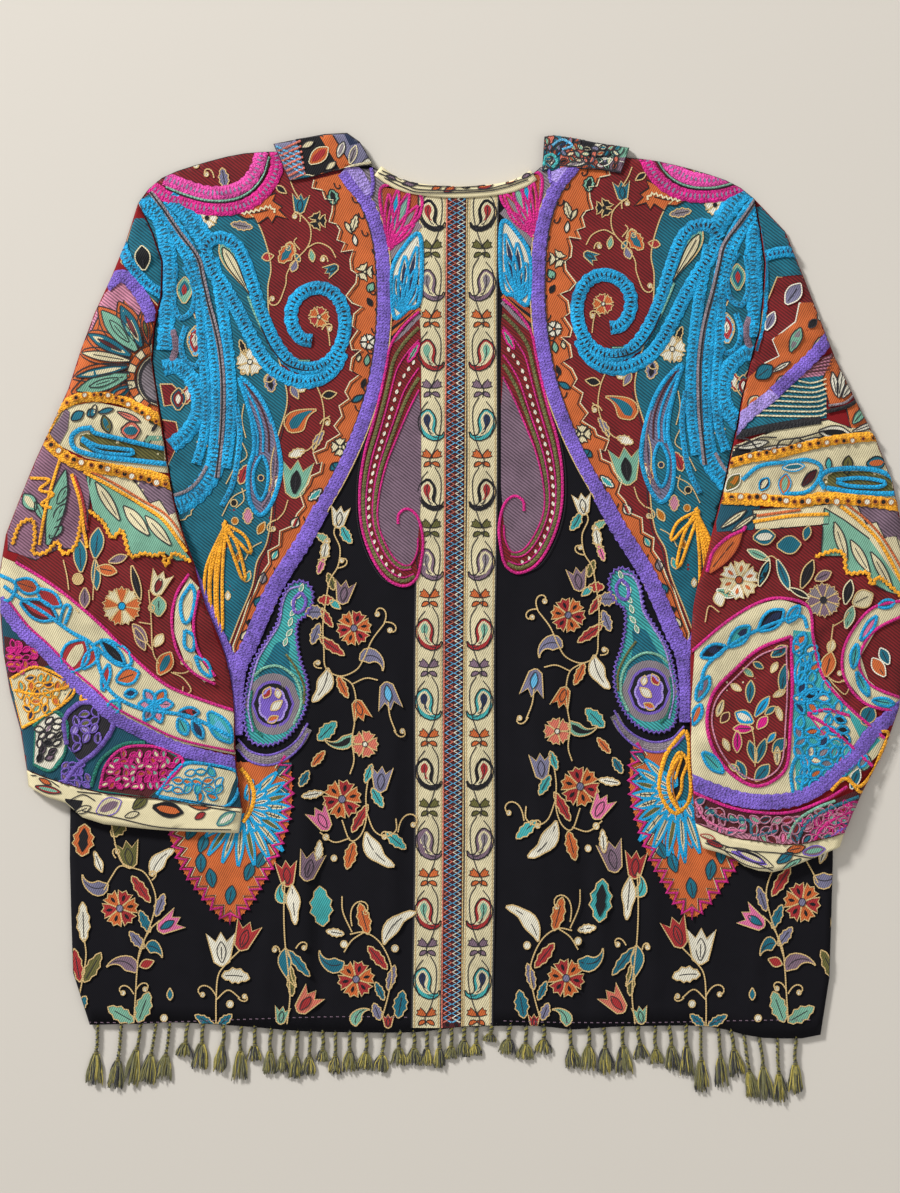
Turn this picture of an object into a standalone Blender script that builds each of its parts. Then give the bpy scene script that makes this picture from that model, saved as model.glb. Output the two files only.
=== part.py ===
"""An open-front jacket of embroidered shawl cloth, laid flat on its fronts with its back up.

Tables are in millimetres in the maker's frame: x from the centre back line, y up from the hem
at the centre back, z up from the surface that the jacket lies on. Left is the wearer's left.
"""
import math

import bmesh
import bpy
from mathutils import Vector
from mathutils.bvhtree import BVHTree

# Driving sizes, in millimetres
CLOTH = 1.4                 # wall of every cloth piece
SEAM = 0.3                  # air between two pieces that are sewn together
CENTRE_BACK = (4.0, -329.0)  # where the middle of the hem lies, from the middle of the whole
BACK_REST = CLOTH + SEAM    # the back's underside lies this high, on the two fronts
BACK_AIR = 1.3              # how far the back stands off the fronts away from its edges
CREASE_LIMIT = 3.4          # highest that air and folds lift the back
EASE_ACROSS = 0.16          # share of the back's width over which that lift grows from an edge
EASE_UP = 0.1               # and the share of its height
SLEEVE_CLEAR = 0.7          # between the back and the sleeve that lies on it
SLEEVE_AIR = 2.3            # hollow inside a flattened sleeve, before its folds
SLEEVE_AIR_LIMIT = 3.8
SLEEVE_AIR_LEAST = 0.4
OPEN_ROWS = 2.0             # rows over which a sleeve's hollow opens from the armhole seam
FOLD_IN = 2.2               # how far a sleeve's hollow stays inside its folded edges
HEM_SHORT = 11.0            # the fronts end this far above the back's hem
HEM_SHORT_ROWS = 4          # rows of a front over which that lift fades
FRONT_GAP = 2.5             # from the centre line to each front's edge
NECK_ROWS = 4               # rows of the armhole below the start of a front's neck edge
STRIP_TOP = 8.4             # the fringe strip, measured up from the back's hem
STRIP_FOOT = 4.4
SEAM_PLAN = 0.4             # air in plan between a sleeve and the armhole it is sewn to
STEP_OUT = 2.5              # a sleeve's rows leave the armhole by at least this much each
UNDERARM_Y = 400.0          # below this the sleeve's inner fold lies on the back
STEP_FADE = 20.0            # height over which that step starts above the underarm
STEP_START = 0.2
HIGH_ABOVE = 50.0           # where the rays start that find the back's surface

# How the back lifts a sleeve that lies on it, in columns distance, share of the back's height
REST_RINGS = ((8, 1.0), (15, 1.0), (24, 0.72), (34, 0.36))
REST_PLACES = 12            # places that are felt round each ring

FOLD_PAST = 0.2             # a fold fades out over this share of its length past its ends
FOLD_FADE = 0.35            # and over this share it reaches its full height
FOLD_FALL = 1.6             # steepness of a fold's flanks

# Steps along an armhole from the underarm end to the shoulder, closer where the tube folds
ARM_STEPS = (0.0, 0.035, 0.11, 0.21, 0.31, 0.41, 0.51, 0.61, 0.71, 0.81, 0.9, 0.965, 1.0)
SIDE_STEPS = 8              # along a side seam
UNDERARM_STEPS = 3          # along the hidden foot of an armhole
BACK_COLUMNS = 38
FRONT_COLUMNS = 8
SLEEVE_ROWS = 15
CUFF_ROWS = 2

# Outlines, in columns x, y
SIDE = {
    "left": ((-294, 4), (-303, 14), (-307, 40), (-309, 100), (-310, 160), (-307, 232),
             (-299, 312), (-290, 366)),
    "right": ((291, -4), (296, 8), (298, 40), (300, 104), (301, 160), (299, 232),
              (290, 312), (280, 366)),
}
UNDERARM = {
    "left": ((-290, 366), (-262, 372), (-238, 384), (-220, 400)),
    "right": ((280, 366), (250, 372), (224, 384), (204, 400)),
}
ARMHOLE = {
    "left": ((-220, 400), (-228, 432), (-234, 472), (-239, 504), (-244, 536), (-241, 568),
             (-235, 596), (-237, 622), (-246, 643), (-255, 662)),
    "right": ((204, 400), (212, 428), (218, 456), (225, 488), (231, 520), (242, 560),
              (245, 588), (246, 620), (241, 646), (238, 665)),
}
HEM = ((-294, 4), (-246, 5), (-226, 6), (-174, 3), (-126, -1), (-86, -2), (-34, -2), (0, 2),
       (31, 3), (66, 3), (94, 0), (117, 2), (149, 3), (197, 3), (224, -2), (238, -6),
       (275, -7), (291, -4))
SHOULDERS = ((-255, 662), (-244, 676), (-230, 685), (-206, 693), (-174, 701), (-142, 703),
             (-118, 701), (-95, 699), (-73, 694), (-60, 686), (-50, 679), (-34, 674), (-2, 671),
             (30, 673), (48, 677), (60, 684), (70, 692), (92, 697), (114, 699), (137, 698),
             (162, 695), (194, 687), (222, 677), (238, 665))
NECK_POINT = {"left": (-84, 696), "right": (80, 694)}
NECK_FOOT_Y = 452           # where the fronts' neck edges start from the centre line
SLEEVE_INNER = {
    "left": ((-220, 400), (-209, 372), (-202, 344), (-186, 304), (-178, 264), (-176, 216),
             (-171, 178)),
    "right": ((204, 400), (198, 376), (189, 344), (186, 304), (186, 264), (186, 216),
              (190, 166)),
}
SLEEVE_OUTER = {
    "left": ((-255, 662), (-262, 640), (-271, 612), (-282, 592), (-298, 552), (-314, 504),
             (-330, 472), (-350, 424), (-362, 392), (-366, 360), (-363, 304), (-356, 264),
             (-347, 232), (-344, 208)),
    "right": ((238, 665), (251, 656), (262, 640), (278, 600), (286, 580), (298, 548), (314, 512),
              (329, 488), (338, 464), (349, 436), (356, 400), (358, 360), (358, 304), (355, 264),
              (346, 238), (338, 214), (326, 195), (317, 172), (309, 158)),
}
CUFF_TOP = {
    "left": ((-171, 178), (-206, 181), (-242, 186), (-279, 189), (-303, 195), (-322, 200),
             (-344, 208)),
    "right": ((190, 166), (218, 155), (239, 152), (270, 149), (309, 158)),
}
CUFF_FOOT = {
    "left": ((-174, 158), (-202, 159), (-230, 160), (-262, 163), (-294, 168), (-312, 182),
             (-326, 186), (-343, 195)),
    "right": ((196, 146), (217, 140), (231, 131), (253, 127), (279, 136), (306, 147)),
}

# Folds of the back: a ridge or trough from one end to the other, in columns
# x from, y from, x to, y to, half width, rise
BACK_FOLDS = (
    (-122, 300, -130, 30, 20, 1.6),
    (-96, 260, -92, 40, 17, -1.1),
    (-52, 470, -60, 60, 20, 1.0),
    (52, 420, 46, 60, 16, -1.0),
    (78, 330, 66, 30, 20, 1.5),
    (112, 250, 122, 40, 18, -1.1),
    (160, 330, 138, 60, 22, 1.1),
    (-150, 610, -110, 520, 22, 0.9),
    (150, 600, 118, 500, 22, 0.9),
    (-20, 640, -14, 560, 16, 0.7),
)

# Folds of each sleeve, in the same columns
SLEEVE_FOLDS = {
    "left": (
        (-240, 560, -300, 520, 13, 1.5),
        (-238, 540, -262, 500, 12, -1.6),
        (-232, 500, -320, 440, 16, 1.4),
        (-226, 440, -330, 380, 15, -1.3),
        (-216, 400, -300, 330, 18, 1.5),
        (-200, 330, -300, 250, 18, 1.2),
        (-190, 270, -290, 210, 16, -1.2),
    ),
    "right": (
        (242, 590, 282, 560, 13, 1.5),
        (238, 550, 276, 520, 12, -1.6),
        (226, 490, 310, 460, 16, 1.4),
        (214, 440, 322, 410, 15, -1.3),
        (206, 400, 300, 350, 18, 1.5),
        (196, 320, 300, 260, 18, 1.2),
        (196, 250, 290, 200, 16, -1.2),
    ),
}

# Turned collar fronts, in columns fold x, fold y, fall x, fall y, tuck
# tuck is how much of the width from fold to fall the under layer takes
COLLAR = {
    "left": ((-147, 709, -134, 679, 0.16), (-127, 713, -121, 681, 0.31),
             (-106, 717, -99, 687, 0.52), (-88, 718, -82, 690, 0.68), (-78, 711, -67, 692, 0.8)),
    "right": ((138, 706, 131, 685, 0.3), (112, 710, 115, 688, 0.42),
              (92, 714, 94, 689, 0.6), (78, 716, 76, 687, 0.72), (70, 715, 68, 687, 0.74)),
}
COLLAR_PUFF = 0.9           # how far the collar's upper layer rises between fold and fall
COLLAR_ROLL = 0.07          # share of its width that its rolled fold takes
TUCK_SHARE = 0.5            # how much of the measured tuck is flat under layer
TUCK_LEAST = 0.2

NECK_ENDS = (-63.0, 61.0)   # the neck band runs between these x along the back's neck edge
NECK_STEPS = 14
BAND_OUT = 4.0              # the band's roll stands this far outside the neck edge
BAND_IN = 5.5               # and its upper layer this far inside it
BAND_TUCK = 2.6             # and its under layer this far in from its roll
BAND_PUFF = 0.4
BAND_ROLL = 0.12
BAND_LIFT = 0.25            # extra air between the band and the back that it grips
ROLL_WALL = 1.15            # thickness of a strip's wall at its roll, in cloth walls

# Tassels of the hem, in columns root x, foot x, foot y
TASSELS = (
    (-287, -291, -44), (-268, -274, -47), (-252, -262, -45), (-240, -249, -43),
    (-229, -236, -40), (-215, -219, -22), (-203, -206, -32), (-186, -190, -34),
    (-173, -174, -41), (-162, -162, -26), (-149, -150, -36), (-138, -140, -35),
    (-127, -130, -39), (-117, -119, -37), (-107, -108, -26), (-97, -98, -36),
    (-86, -86, -34), (-72, -74, -33), (-57, -62, -34), (-46, -47, -29),
    (-34, -35, -29), (-24, -24, -29), (-14, -14, -31), (-4, -5, -24),
    (6, 5, -22), (16, 15, -21), (28, 26, -10), (43, 40, -20),
    (56, 54, -24), (70, 69, -20), (90, 93, -31), (106, 105, -33),
    (118, 119, -36), (132, 134, -36), (144, 148, -24), (158, 160, -28),
    (170, 173, -33), (183, 185, -37), (195, 196, -50), (209, 213, -46),
    (219, 225, -38), (229, 237, -55), (242, 248, -57), (256, 259, -58),
    (271, 271, -52),
)
STRIP_PAST = 6.0            # the strip runs this far past the outermost tassels
ROOT_WIDE = 2.6             # width of a tassel where it leaves the strip
NECK_WIDE = 2.0             # the twisted cord between strip and knot
NECK_TALL = 1.7
NECK_SWAY = 0.5             # how far the cord bends to one side and back
PAST_HEM = 1.5              # the cord stays thin this far past the strip's foot
BRUSH_WIDE = 8.4            # the cut yarns below the knot
BRUSH_SHARE = 0.62          # and never more than this share of the way to the next one
BRUSH_TALL = 2.6
KNOT_AT = 0.42              # the knot's place between the back's hem and the foot
KNOT_WIDE = 2.3
KNOT_TALL = 1.87
KNOT_LONG = 0.09            # from the knot to the brush, as a share of the tassel
BRUSH_HEAD = 0.62           # the brush starts with this share of its width
LIFT = 0.35                 # the tassels' underside over the surface
LOCKS = 3                   # locks of each brush
LOCK_FAN = 1.45             # the locks' ends stand this much further apart than their roots
LOCK_TAPER = 0.7            # and are this much thinner
LOCK_SLOT = 0.12            # half the slot between two locks
STRIP_WALL = 1.3            # thickness of the strip

COLOURS = {
    "black cloth": (0.012, 0.012, 0.016),
    "sleeve cloth": (0.24, 0.05, 0.06),
    "cream border": (0.66, 0.58, 0.42),
    "collar cloth": (0.10, 0.06, 0.09),
    "olive yarn": (0.20, 0.19, 0.03),
}


def clear_scene():
    for item in list(bpy.data.objects):
        bpy.data.objects.remove(item, do_unlink=True)


def cloth_material(name, rough=0.85):
    material = bpy.data.materials.get(name) or bpy.data.materials.new(name)
    material.use_nodes = True
    shader = material.node_tree.nodes["Principled BSDF"]
    shader.inputs["Base Color"].default_value = (*COLOURS[name], 1.0)
    shader.inputs["Roughness"].default_value = rough
    shader.inputs["Metallic"].default_value = 0.0
    return material


def finish(name, bm, material, sharp=40.0):
    """Turn a bmesh in millimetres of the maker's frame into a named object in metres."""
    bmesh.ops.recalc_face_normals(bm, faces=bm.faces)
    for vert in bm.verts:
        x, y, z = vert.co
        vert.co = Vector((x + CENTRE_BACK[0], y + CENTRE_BACK[1], z)) * 0.001
    mesh = bpy.data.meshes.new(name)
    bm.to_mesh(mesh)
    bm.free()
    mesh.shade_smooth()
    mesh.set_sharp_from_angle(angle=math.radians(sharp))
    mesh.materials.append(cloth_material(material))
    item = bpy.data.objects.new(name, mesh)
    bpy.context.scene.collection.objects.link(item)
    return item


def smooth_curve(points, fine=12):
    """A Catmull-Rom curve through the points, as a dense polyline."""
    pts = [Vector(p) for p in points]
    ends = [2 * pts[0] - pts[1]] + pts + [2 * pts[-1] - pts[-2]]
    line = []
    for a, b, c, d in zip(ends, ends[1:], ends[2:], ends[3:]):
        for k in range(fine):
            t = k / fine
            line.append(0.5 * (2 * b + (c - a) * t + (2 * a - 5 * b + 4 * c - d) * t ** 2
                               + (3 * b - a - 3 * c + d) * t ** 3))
    line.append(pts[-1])
    return line


def along(line, fractions):
    """Points of a polyline at fractions of its length."""
    reach = [0.0]
    for a, b in zip(line, line[1:]):
        reach.append(reach[-1] + (b - a).length)
    found = []
    for part in fractions:
        want = part * reach[-1]
        k = 0
        while k < len(line) - 2 and reach[k + 1] < want:
            k += 1
        span = reach[k + 1] - reach[k]
        found.append(line[k].lerp(line[k + 1], (want - reach[k]) / span if span else 0.0))
    return found


def even(count):
    return [k / count for k in range(count + 1)]


def outline(points, fractions):
    return along(smooth_curve(points), fractions)


def body_rail(side):
    """A body panel's edge from its hem corner up the side seam and the armhole to the shoulder."""
    rail = outline(SIDE[side], even(SIDE_STEPS))
    rail += outline(UNDERARM[side], even(UNDERARM_STEPS))[1:]
    return rail + outline(ARMHOLE[side], ARM_STEPS)[1:]


def patch(foot, head, left, right):
    """Rows of plan points between four edges: each row runs from left to right."""
    rows = []
    columns, height = len(foot) - 1, len(left) - 1
    for i in range(height + 1):
        v = i / height
        row = []
        for j in range(columns + 1):
            u = j / columns
            ruled = foot[j].lerp(head[j], v) + left[i].lerp(right[i], u)
            corners = foot[0].lerp(foot[-1], u).lerp(head[0].lerp(head[-1], u), v)
            row.append(ruled - corners)
        rows.append(row)
    return rows


def smoothstep(x):
    x = min(max(x, 0.0), 1.0)
    return x * x * (3 - 2 * x)


def fold_rise(x, y, folds):
    """Height that a table of folds adds at a place: soft across, fading out at both ends."""
    rise = 0.0
    for x0, y0, x1, y1, half, height in folds:
        start, run = Vector((x0, y0)), Vector((x1 - x0, y1 - y0))
        rel = Vector((x, y)) - start
        t = rel.dot(run) / run.length_squared
        off = abs(rel.cross(run)) / run.length
        if -FOLD_PAST < t < 1 + FOLD_PAST and off < 2 * half:
            fade = smoothstep((t + FOLD_PAST) / FOLD_FADE)
            fade *= smoothstep((1 + FOLD_PAST - t) / FOLD_FADE)
            rise += height * fade * math.exp(-FOLD_FALL * (off / half) ** 2)
    return rise


def sheet(bm, rows, low, wall=CLOTH):
    """A closed cloth wall over a grid of plan points; low(i, j, x, y) is its underside."""
    under, over = [], []
    for i, row in enumerate(rows):
        heights = [low(i, j, p.x, p.y) for j, p in enumerate(row)]
        under.append([bm.verts.new((p.x, p.y, z)) for p, z in zip(row, heights)])
        over.append([bm.verts.new((p.x, p.y, z + wall)) for p, z in zip(row, heights)])
    last_row, last_column = len(rows) - 1, len(rows[0]) - 1
    for i in range(last_row):
        for j in range(last_column):
            bm.faces.new((over[i][j], over[i][j + 1], over[i + 1][j + 1], over[i + 1][j]))
            bm.faces.new((under[i][j], under[i + 1][j], under[i + 1][j + 1], under[i][j + 1]))
    rim = [(0, j) for j in range(last_column)] + [(i, last_column) for i in range(last_row)]
    rim += [(last_row, j) for j in range(last_column, 0, -1)] + [(i, 0) for i in range(last_row, 0, -1)]
    for (i, j), (k, m) in zip(rim, rim[1:] + rim[:1]):
        bm.faces.new((under[i][j], under[k][m], over[k][m], over[i][j]))


def build_back():
    left, right = body_rail("left"), body_rail("right")
    foot = outline(HEM, even(BACK_COLUMNS))
    head = outline(SHOULDERS, even(BACK_COLUMNS))
    rows = patch(foot, head, left, right)
    last_row, last_column = len(rows) - 1, BACK_COLUMNS

    def low(i, j, x, y):
        u, v = j / last_column, i / last_row
        edge = min(smoothstep(min(u, 1 - u) / EASE_ACROSS), smoothstep(min(v, 1 - v) / EASE_UP))
        lift = BACK_AIR + fold_rise(x, y, BACK_FOLDS)
        return BACK_REST + edge * min(max(lift, 0.0), CREASE_LIMIT)

    bm = bmesh.new()
    sheet(bm, rows, low)
    over = BVHTree.FromBMesh(bm)
    finish("back", bm, "black cloth")
    return over


def build_front(side):
    turn = 1 if side == "left" else -1
    rail = body_rail(side)
    opening = [Vector((-turn * FRONT_GAP, 0.0)), Vector((-turn * FRONT_GAP, NECK_FOOT_Y)),
               Vector(NECK_POINT[side])]
    split = SIDE_STEPS + UNDERARM_STEPS + NECK_ROWS
    centre = [opening[0].lerp(opening[1], k / split) for k in range(split)]
    steps = len(rail) - 1 - split
    centre += [opening[1].lerp(opening[2], k / steps) for k in range(steps + 1)]
    hem = smooth_curve(HEM)
    shoulder = smooth_curve(SHOULDERS)
    inner, outer = sorted((abs(NECK_POINT[side][0]), abs(rail[-1].x)))
    head_line = [p for p in shoulder if inner < -turn * p.x < outer]
    foot_line = [p for p in hem if FRONT_GAP < -turn * p.x < abs(rail[0].x)]
    if turn < 0:
        head_line.reverse()
        foot_line.reverse()
    head = along([rail[-1]] + head_line + [opening[2]], even(FRONT_COLUMNS))
    foot = along([rail[0]] + foot_line + [opening[0]], even(FRONT_COLUMNS))
    rows = patch(foot, head, rail, centre)
    for i, row in enumerate(rows):
        for p in row:
            p.y += HEM_SHORT * max(0.0, 1.0 - i / HEM_SHORT_ROWS)
    bm = bmesh.new()
    sheet(bm, rows, lambda i, j, x, y: 0.0)
    finish("front_" + side, bm, "black cloth")


def height_of(over, x, y):
    """Height of the back's upper surface at a place, or 0 beside it."""
    hit = over.ray_cast(Vector((x, y, HIGH_ABOVE)), Vector((0, 0, -1)))[0]
    return hit.z if hit else 0.0


def rest_height(over, x, y):
    """Height of the back under a place and a little round it, counted only below the underarm."""
    places = [(x, y, 1.0)]
    for radius, share in REST_RINGS:
        for k in range(REST_PLACES):
            angle = 2 * math.pi * k / REST_PLACES
            places.append((x + radius * math.cos(angle), y + radius * math.sin(angle), share))
    top = 0.0
    for px, py, share in places:
        z = height_of(over, px, py) if py < UNDERARM_Y + 2.0 else 0.0
        if z:
            top = max(top, share * (z + SLEEVE_CLEAR))
    return top


def tube(name, rows, over, side, from_seam, material):
    """A flattened tube through rows of plan points, each from its inner to its outer fold.

    From a seam its hollow opens over the first rows; otherwise it is as open from the start.
    """
    rings = []
    for i, row in enumerate(rows):
        last = len(row) - 1
        open_up = smoothstep(i / OPEN_ROWS) if from_seam else 1.0
        lows, airs = [], []
        for p in row:
            lows.append(rest_height(over, p.x, p.y))
            lift = SLEEVE_AIR + fold_rise(p.x, p.y, SLEEVE_FOLDS[side])
            airs.append(SEAM + open_up * min(max(lift, SLEEVE_AIR_LEAST), SLEEVE_AIR_LIMIT - SEAM))
        outer, inner = [], []
        for j, p in enumerate(row):
            z = lows[j] + CLOTH
            if j in (0, last):
                middle = z + airs[j] / 2
                near = row[1] if j == 0 else row[-2]
                outer.append((p.x, p.y, middle))
                q = p + (near - p).normalized() * FOLD_IN
                inner.append((q.x, q.y, middle))
            else:
                outer.append((p.x, p.y, z + airs[j] + CLOTH))
                inner.append((p.x, p.y, z + airs[j]))
        for j in range(last - 1, 0, -1):
            p = row[j]
            outer.append((p.x, p.y, lows[j]))
            inner.append((p.x, p.y, lows[j] + CLOTH))
        rings.append((outer, inner))
    bm = bmesh.new()
    made = [([bm.verts.new(c) for c in outer], [bm.verts.new(c) for c in inner])
            for outer, inner in rings]
    around = len(made[0][0])
    for (out_a, in_a), (out_b, in_b) in zip(made, made[1:]):
        for k in range(around):
            m = (k + 1) % around
            bm.faces.new((out_a[k], out_a[m], out_b[m], out_b[k]))
            bm.faces.new((in_a[m], in_a[k], in_b[k], in_b[m]))
    for outer, inner in (made[0], made[-1]):
        for k in range(around):
            m = (k + 1) % around
            bm.faces.new((outer[k], inner[k], inner[m], outer[m]))
    finish(name, bm, material)


def x_at_height(line, y):
    """x of a rising line at a height."""
    for a, b in zip(line, line[1:]):
        if a.y <= y <= b.y:
            return a.lerp(b, (y - a.y) / (b.y - a.y)).x
    return line[0].x if y < line[0].y else line[-1].x


def build_sleeve(side, over):
    away = -1 if side == "left" else 1
    edges = (outline(ARMHOLE[side], ARM_STEPS), outline(CUFF_TOP[side], ARM_STEPS),
             outline(SLEEVE_INNER[side], even(SLEEVE_ROWS)),
             outline(SLEEVE_OUTER[side], even(SLEEVE_ROWS)))
    seam_air = Vector((away * SEAM_PLAN, 0.0))
    rows = patch(*[[p + seam_air for p in edge] for edge in edges])
    seam = smooth_curve(ARMHOLE[side])
    for i, row in enumerate(rows):
        for p in row:
            clear = STEP_OUT * i * smoothstep((p.y - UNDERARM_Y) / STEP_FADE + STEP_START)
            edge = x_at_height(seam, p.y)
            if clear and away * (p.x - edge) < clear:
                p.x = edge + away * clear
    tube("sleeve_" + side, rows, over, side, True, "sleeve cloth")
    return rows[-1]


def build_cuff(side, last_row, over):
    foot = outline(CUFF_FOOT[side], ARM_STEPS)
    rows = [[a.lerp(b, t) for a, b in zip(last_row, foot)] for t in even(CUFF_ROWS)]
    rows[0] = [p + Vector((0.0, -SEAM_PLAN)) for p in rows[0]]
    tube("cuff_" + side, rows, over, side, False, "cream border")


def strip_section(fold, fall, edge_z, tuck, puff, roll):
    """Ring of points round a strip that folds over an edge, from its fall to its tuck."""
    top = edge_z + CLOTH
    wall = ROLL_WALL * CLOTH / (fall - fold).length

    def at(part, z):
        p = fold.lerp(fall, part)
        return (p.x, p.y, z)

    return [at(1.0, top), at(0.5, top + puff), at(roll, top + puff * 0.4), at(0.0, top * 0.55),
            at(roll * 0.6, 0.0), at(tuck, 0.0), at(tuck, CLOTH), at(wall, CLOTH),
            at(wall, edge_z), at(0.5, edge_z + puff), at(1.0, edge_z)]


# Faces that close the end of a folded strip, by the places of their points in its ring
STRIP_END = ((0, 1, 9, 10), (1, 2, 8, 9), (2, 3, 8), (3, 7, 8), (3, 4, 7), (4, 5, 6, 7))


def loft_strip(name, sections, material):
    """A closed solid through the rings of a folded strip."""
    bm = bmesh.new()
    rings = [[bm.verts.new(c) for c in ring] for ring in sections]
    around = len(rings[0])
    for a, b in zip(rings, rings[1:]):
        for k in range(around):
            m = (k + 1) % around
            bm.faces.new((a[k], a[m], b[m], b[k]))
    for ring in (rings[0], rings[-1]):
        for face in STRIP_END:
            bm.faces.new([ring[k] for k in face])
    finish(name, bm, material)


def build_collar(side, over):
    edge_z = BACK_REST + CLOTH + SEAM
    sections = []
    for fold_x, fold_y, fall_x, fall_y, tuck in COLLAR[side]:
        fold, fall = Vector((fold_x, fold_y)), Vector((fall_x, fall_y))
        z = max(edge_z, height_of(over, fall.x, fall.y) + SEAM)
        under = max(TUCK_SHARE * tuck, TUCK_LEAST)
        sections.append(strip_section(fold, fall, z, under, COLLAR_PUFF, COLLAR_ROLL))
    loft_strip("collar_" + side, sections, "collar cloth")


def build_neck_band():
    edge = [p for p in smooth_curve(SHOULDERS) if NECK_ENDS[0] < p.x < NECK_ENDS[1]]
    line = along(edge, even(NECK_STEPS))
    whole = BAND_OUT + BAND_IN
    edge_z = BACK_REST + CLOTH + SEAM + BAND_LIFT
    sections = []
    for k, p in enumerate(line):
        ahead = line[min(k + 1, len(line) - 1)] - line[max(k - 1, 0)]
        inward = Vector((ahead.y, -ahead.x)).normalized()
        fold, fall = p - inward * BAND_OUT, p + inward * BAND_IN
        sections.append(strip_section(fold, fall, edge_z, BAND_TUCK / whole, BAND_PUFF, BAND_ROLL))
    loft_strip("neck_band", sections, "cream border")


def hem_height(x):
    """y of the back's hem at x."""
    line = smooth_curve(HEM)
    for a, b in zip(line, line[1:]):
        if a.x <= x <= b.x:
            return a.lerp(b, (x - a.x) / (b.x - a.x)).y
    return line[0].y if x < line[0].x else line[-1].y


def tassel(bm, root, foot_x, foot_y, brush):
    """Grow one tassel out of a face of the strip: a cord, then a brush of locks."""
    start = root.calc_center_median()
    run = Vector((foot_x - start.x, foot_y - start.y, 0))
    side = Vector((-run.y, run.x, 0)).normalized()
    clear = (STRIP_FOOT + PAST_HEM) / run.length
    knot = clear + (1 - clear) * KNOT_AT
    halfway = clear + (knot - clear) * 0.6
    # in columns share of the run, width, height, sway to one side
    steps = ((clear, NECK_WIDE, 1.0, 0.0), (halfway, NECK_WIDE, NECK_TALL, NECK_SWAY),
             (knot, KNOT_WIDE, KNOT_TALL, -NECK_SWAY),
             (knot + KNOT_LONG, brush * BRUSH_HEAD, BRUSH_TALL, 0.0))
    face = root
    for part, wide, tall, sway in steps:
        made = bmesh.ops.extrude_discrete_faces(bm, faces=[face])
        face = made["faces"][0]
        centre = start + run * part + side * sway
        place_face(face, centre, side, wide, tall)
    split_brush(bm, face, start, run, side, brush)


def place_face(face, centre, side, wide, tall):
    """Move a four-cornered face to a centre, keeping which corners are left, right, low and high."""
    old = face.calc_center_median()
    for vert in face.verts:
        across = 1 if (vert.co - old).dot(side) > 0 else -1
        high = vert.co.z > old.z
        spot = centre + side * (across * wide / 2)
        vert.co = (spot.x, spot.y, LIFT + (tall if high else 0.0))


def split_brush(bm, face, start, run, side, brush):
    """Cut the knot's face into upright slices and draw each one out into a lock."""
    middle = face.calc_center_median()
    level = [e for e in face.edges if abs((e.verts[0].co - e.verts[1].co).normalized().z) < 0.5]
    before = set(bm.faces)
    bmesh.ops.subdivide_edges(bm, edges=level, cuts=LOCKS - 1, use_grid_fill=True)
    front = run.normalized()
    slices = [f for f in bm.faces if (f not in before or f == face)
              and f.is_valid and all(abs((v.co - middle).dot(front)) < 0.05 for v in f.verts)
              and (f.calc_center_median() - middle).length < brush]
    bmesh.ops.inset_individual(bm, faces=slices, thickness=LOCK_SLOT, depth=0.0)
    for piece in slices:
        offset = (piece.calc_center_median() - middle).dot(side)
        fan = offset / brush
        made = bmesh.ops.extrude_discrete_faces(bm, faces=[piece])
        tip = made["faces"][0]
        centre = start + run * (1.0 - 0.05 * abs(fan)) + side * (offset * LOCK_FAN)
        place_face(tip, centre, side, brush / LOCKS * LOCK_TAPER, BRUSH_TALL * LOCK_TAPER)


def build_fringe():
    """The narrow strip behind the hem, with a root face for every tassel on its lower edge."""
    bm = bmesh.new()
    edges_x = [TASSELS[0][0] - STRIP_PAST]
    for root_x, _, _ in TASSELS:
        edges_x += [root_x - ROOT_WIDE / 2, root_x + ROOT_WIDE / 2]
    edges_x.append(TASSELS[-1][0] + STRIP_PAST)
    columns = []
    for x in edges_x:
        hem = hem_height(x)
        columns.append([bm.verts.new((x, hem + STRIP_FOOT, 0.0)),
                        bm.verts.new((x, hem + STRIP_FOOT, STRIP_WALL)),
                        bm.verts.new((x, hem + STRIP_TOP, STRIP_WALL)),
                        bm.verts.new((x, hem + STRIP_TOP, 0.0))])
    roots = []
    for k, (a, b) in enumerate(zip(columns, columns[1:])):
        for m in range(4):
            n = (m + 1) % 4
            made = bm.faces.new((a[m], b[m], b[n], a[n]))
            if m == 0 and k % 2 == 1:
                roots.append(made)
    bm.faces.new(columns[0])
    bm.faces.new(columns[-1])
    bmesh.ops.recalc_face_normals(bm, faces=bm.faces)
    feet = [t[1] for t in TASSELS]
    for k, (root, (_, foot_x, foot_y)) in enumerate(zip(roots, TASSELS)):
        gaps = [abs(foot_x - other) for m, other in enumerate(feet) if m != k]
        tassel(bm, root, foot_x, foot_y, min(BRUSH_WIDE, BRUSH_SHARE * min(gaps)))
    finish("hem_fringe", bm, "olive yarn", 60.0)


def main():
    clear_scene()
    over = build_back()
    for side in ("left", "right"):
        build_front(side)
        last_row = build_sleeve(side, over)
        build_cuff(side, last_row, over)
        build_collar(side, over)
    build_neck_band()
    build_fringe()


main()
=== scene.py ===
"""Looks of an open-front jacket of embroidered shawl cloth, laid flat with its back up.

Pattern tables are in grid steps of 0.8 mm: c counts from the left and r from the top of the sheet
on which the pattern was set out. Lengths and widths of motifs are in the same steps, angles are in
degrees from the right, turning up, and heights over the cloth are in millimetres.
"""
import math
import random

import bmesh
import bpy
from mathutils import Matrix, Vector, noise
from mathutils.bvhtree import BVHTree


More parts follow.
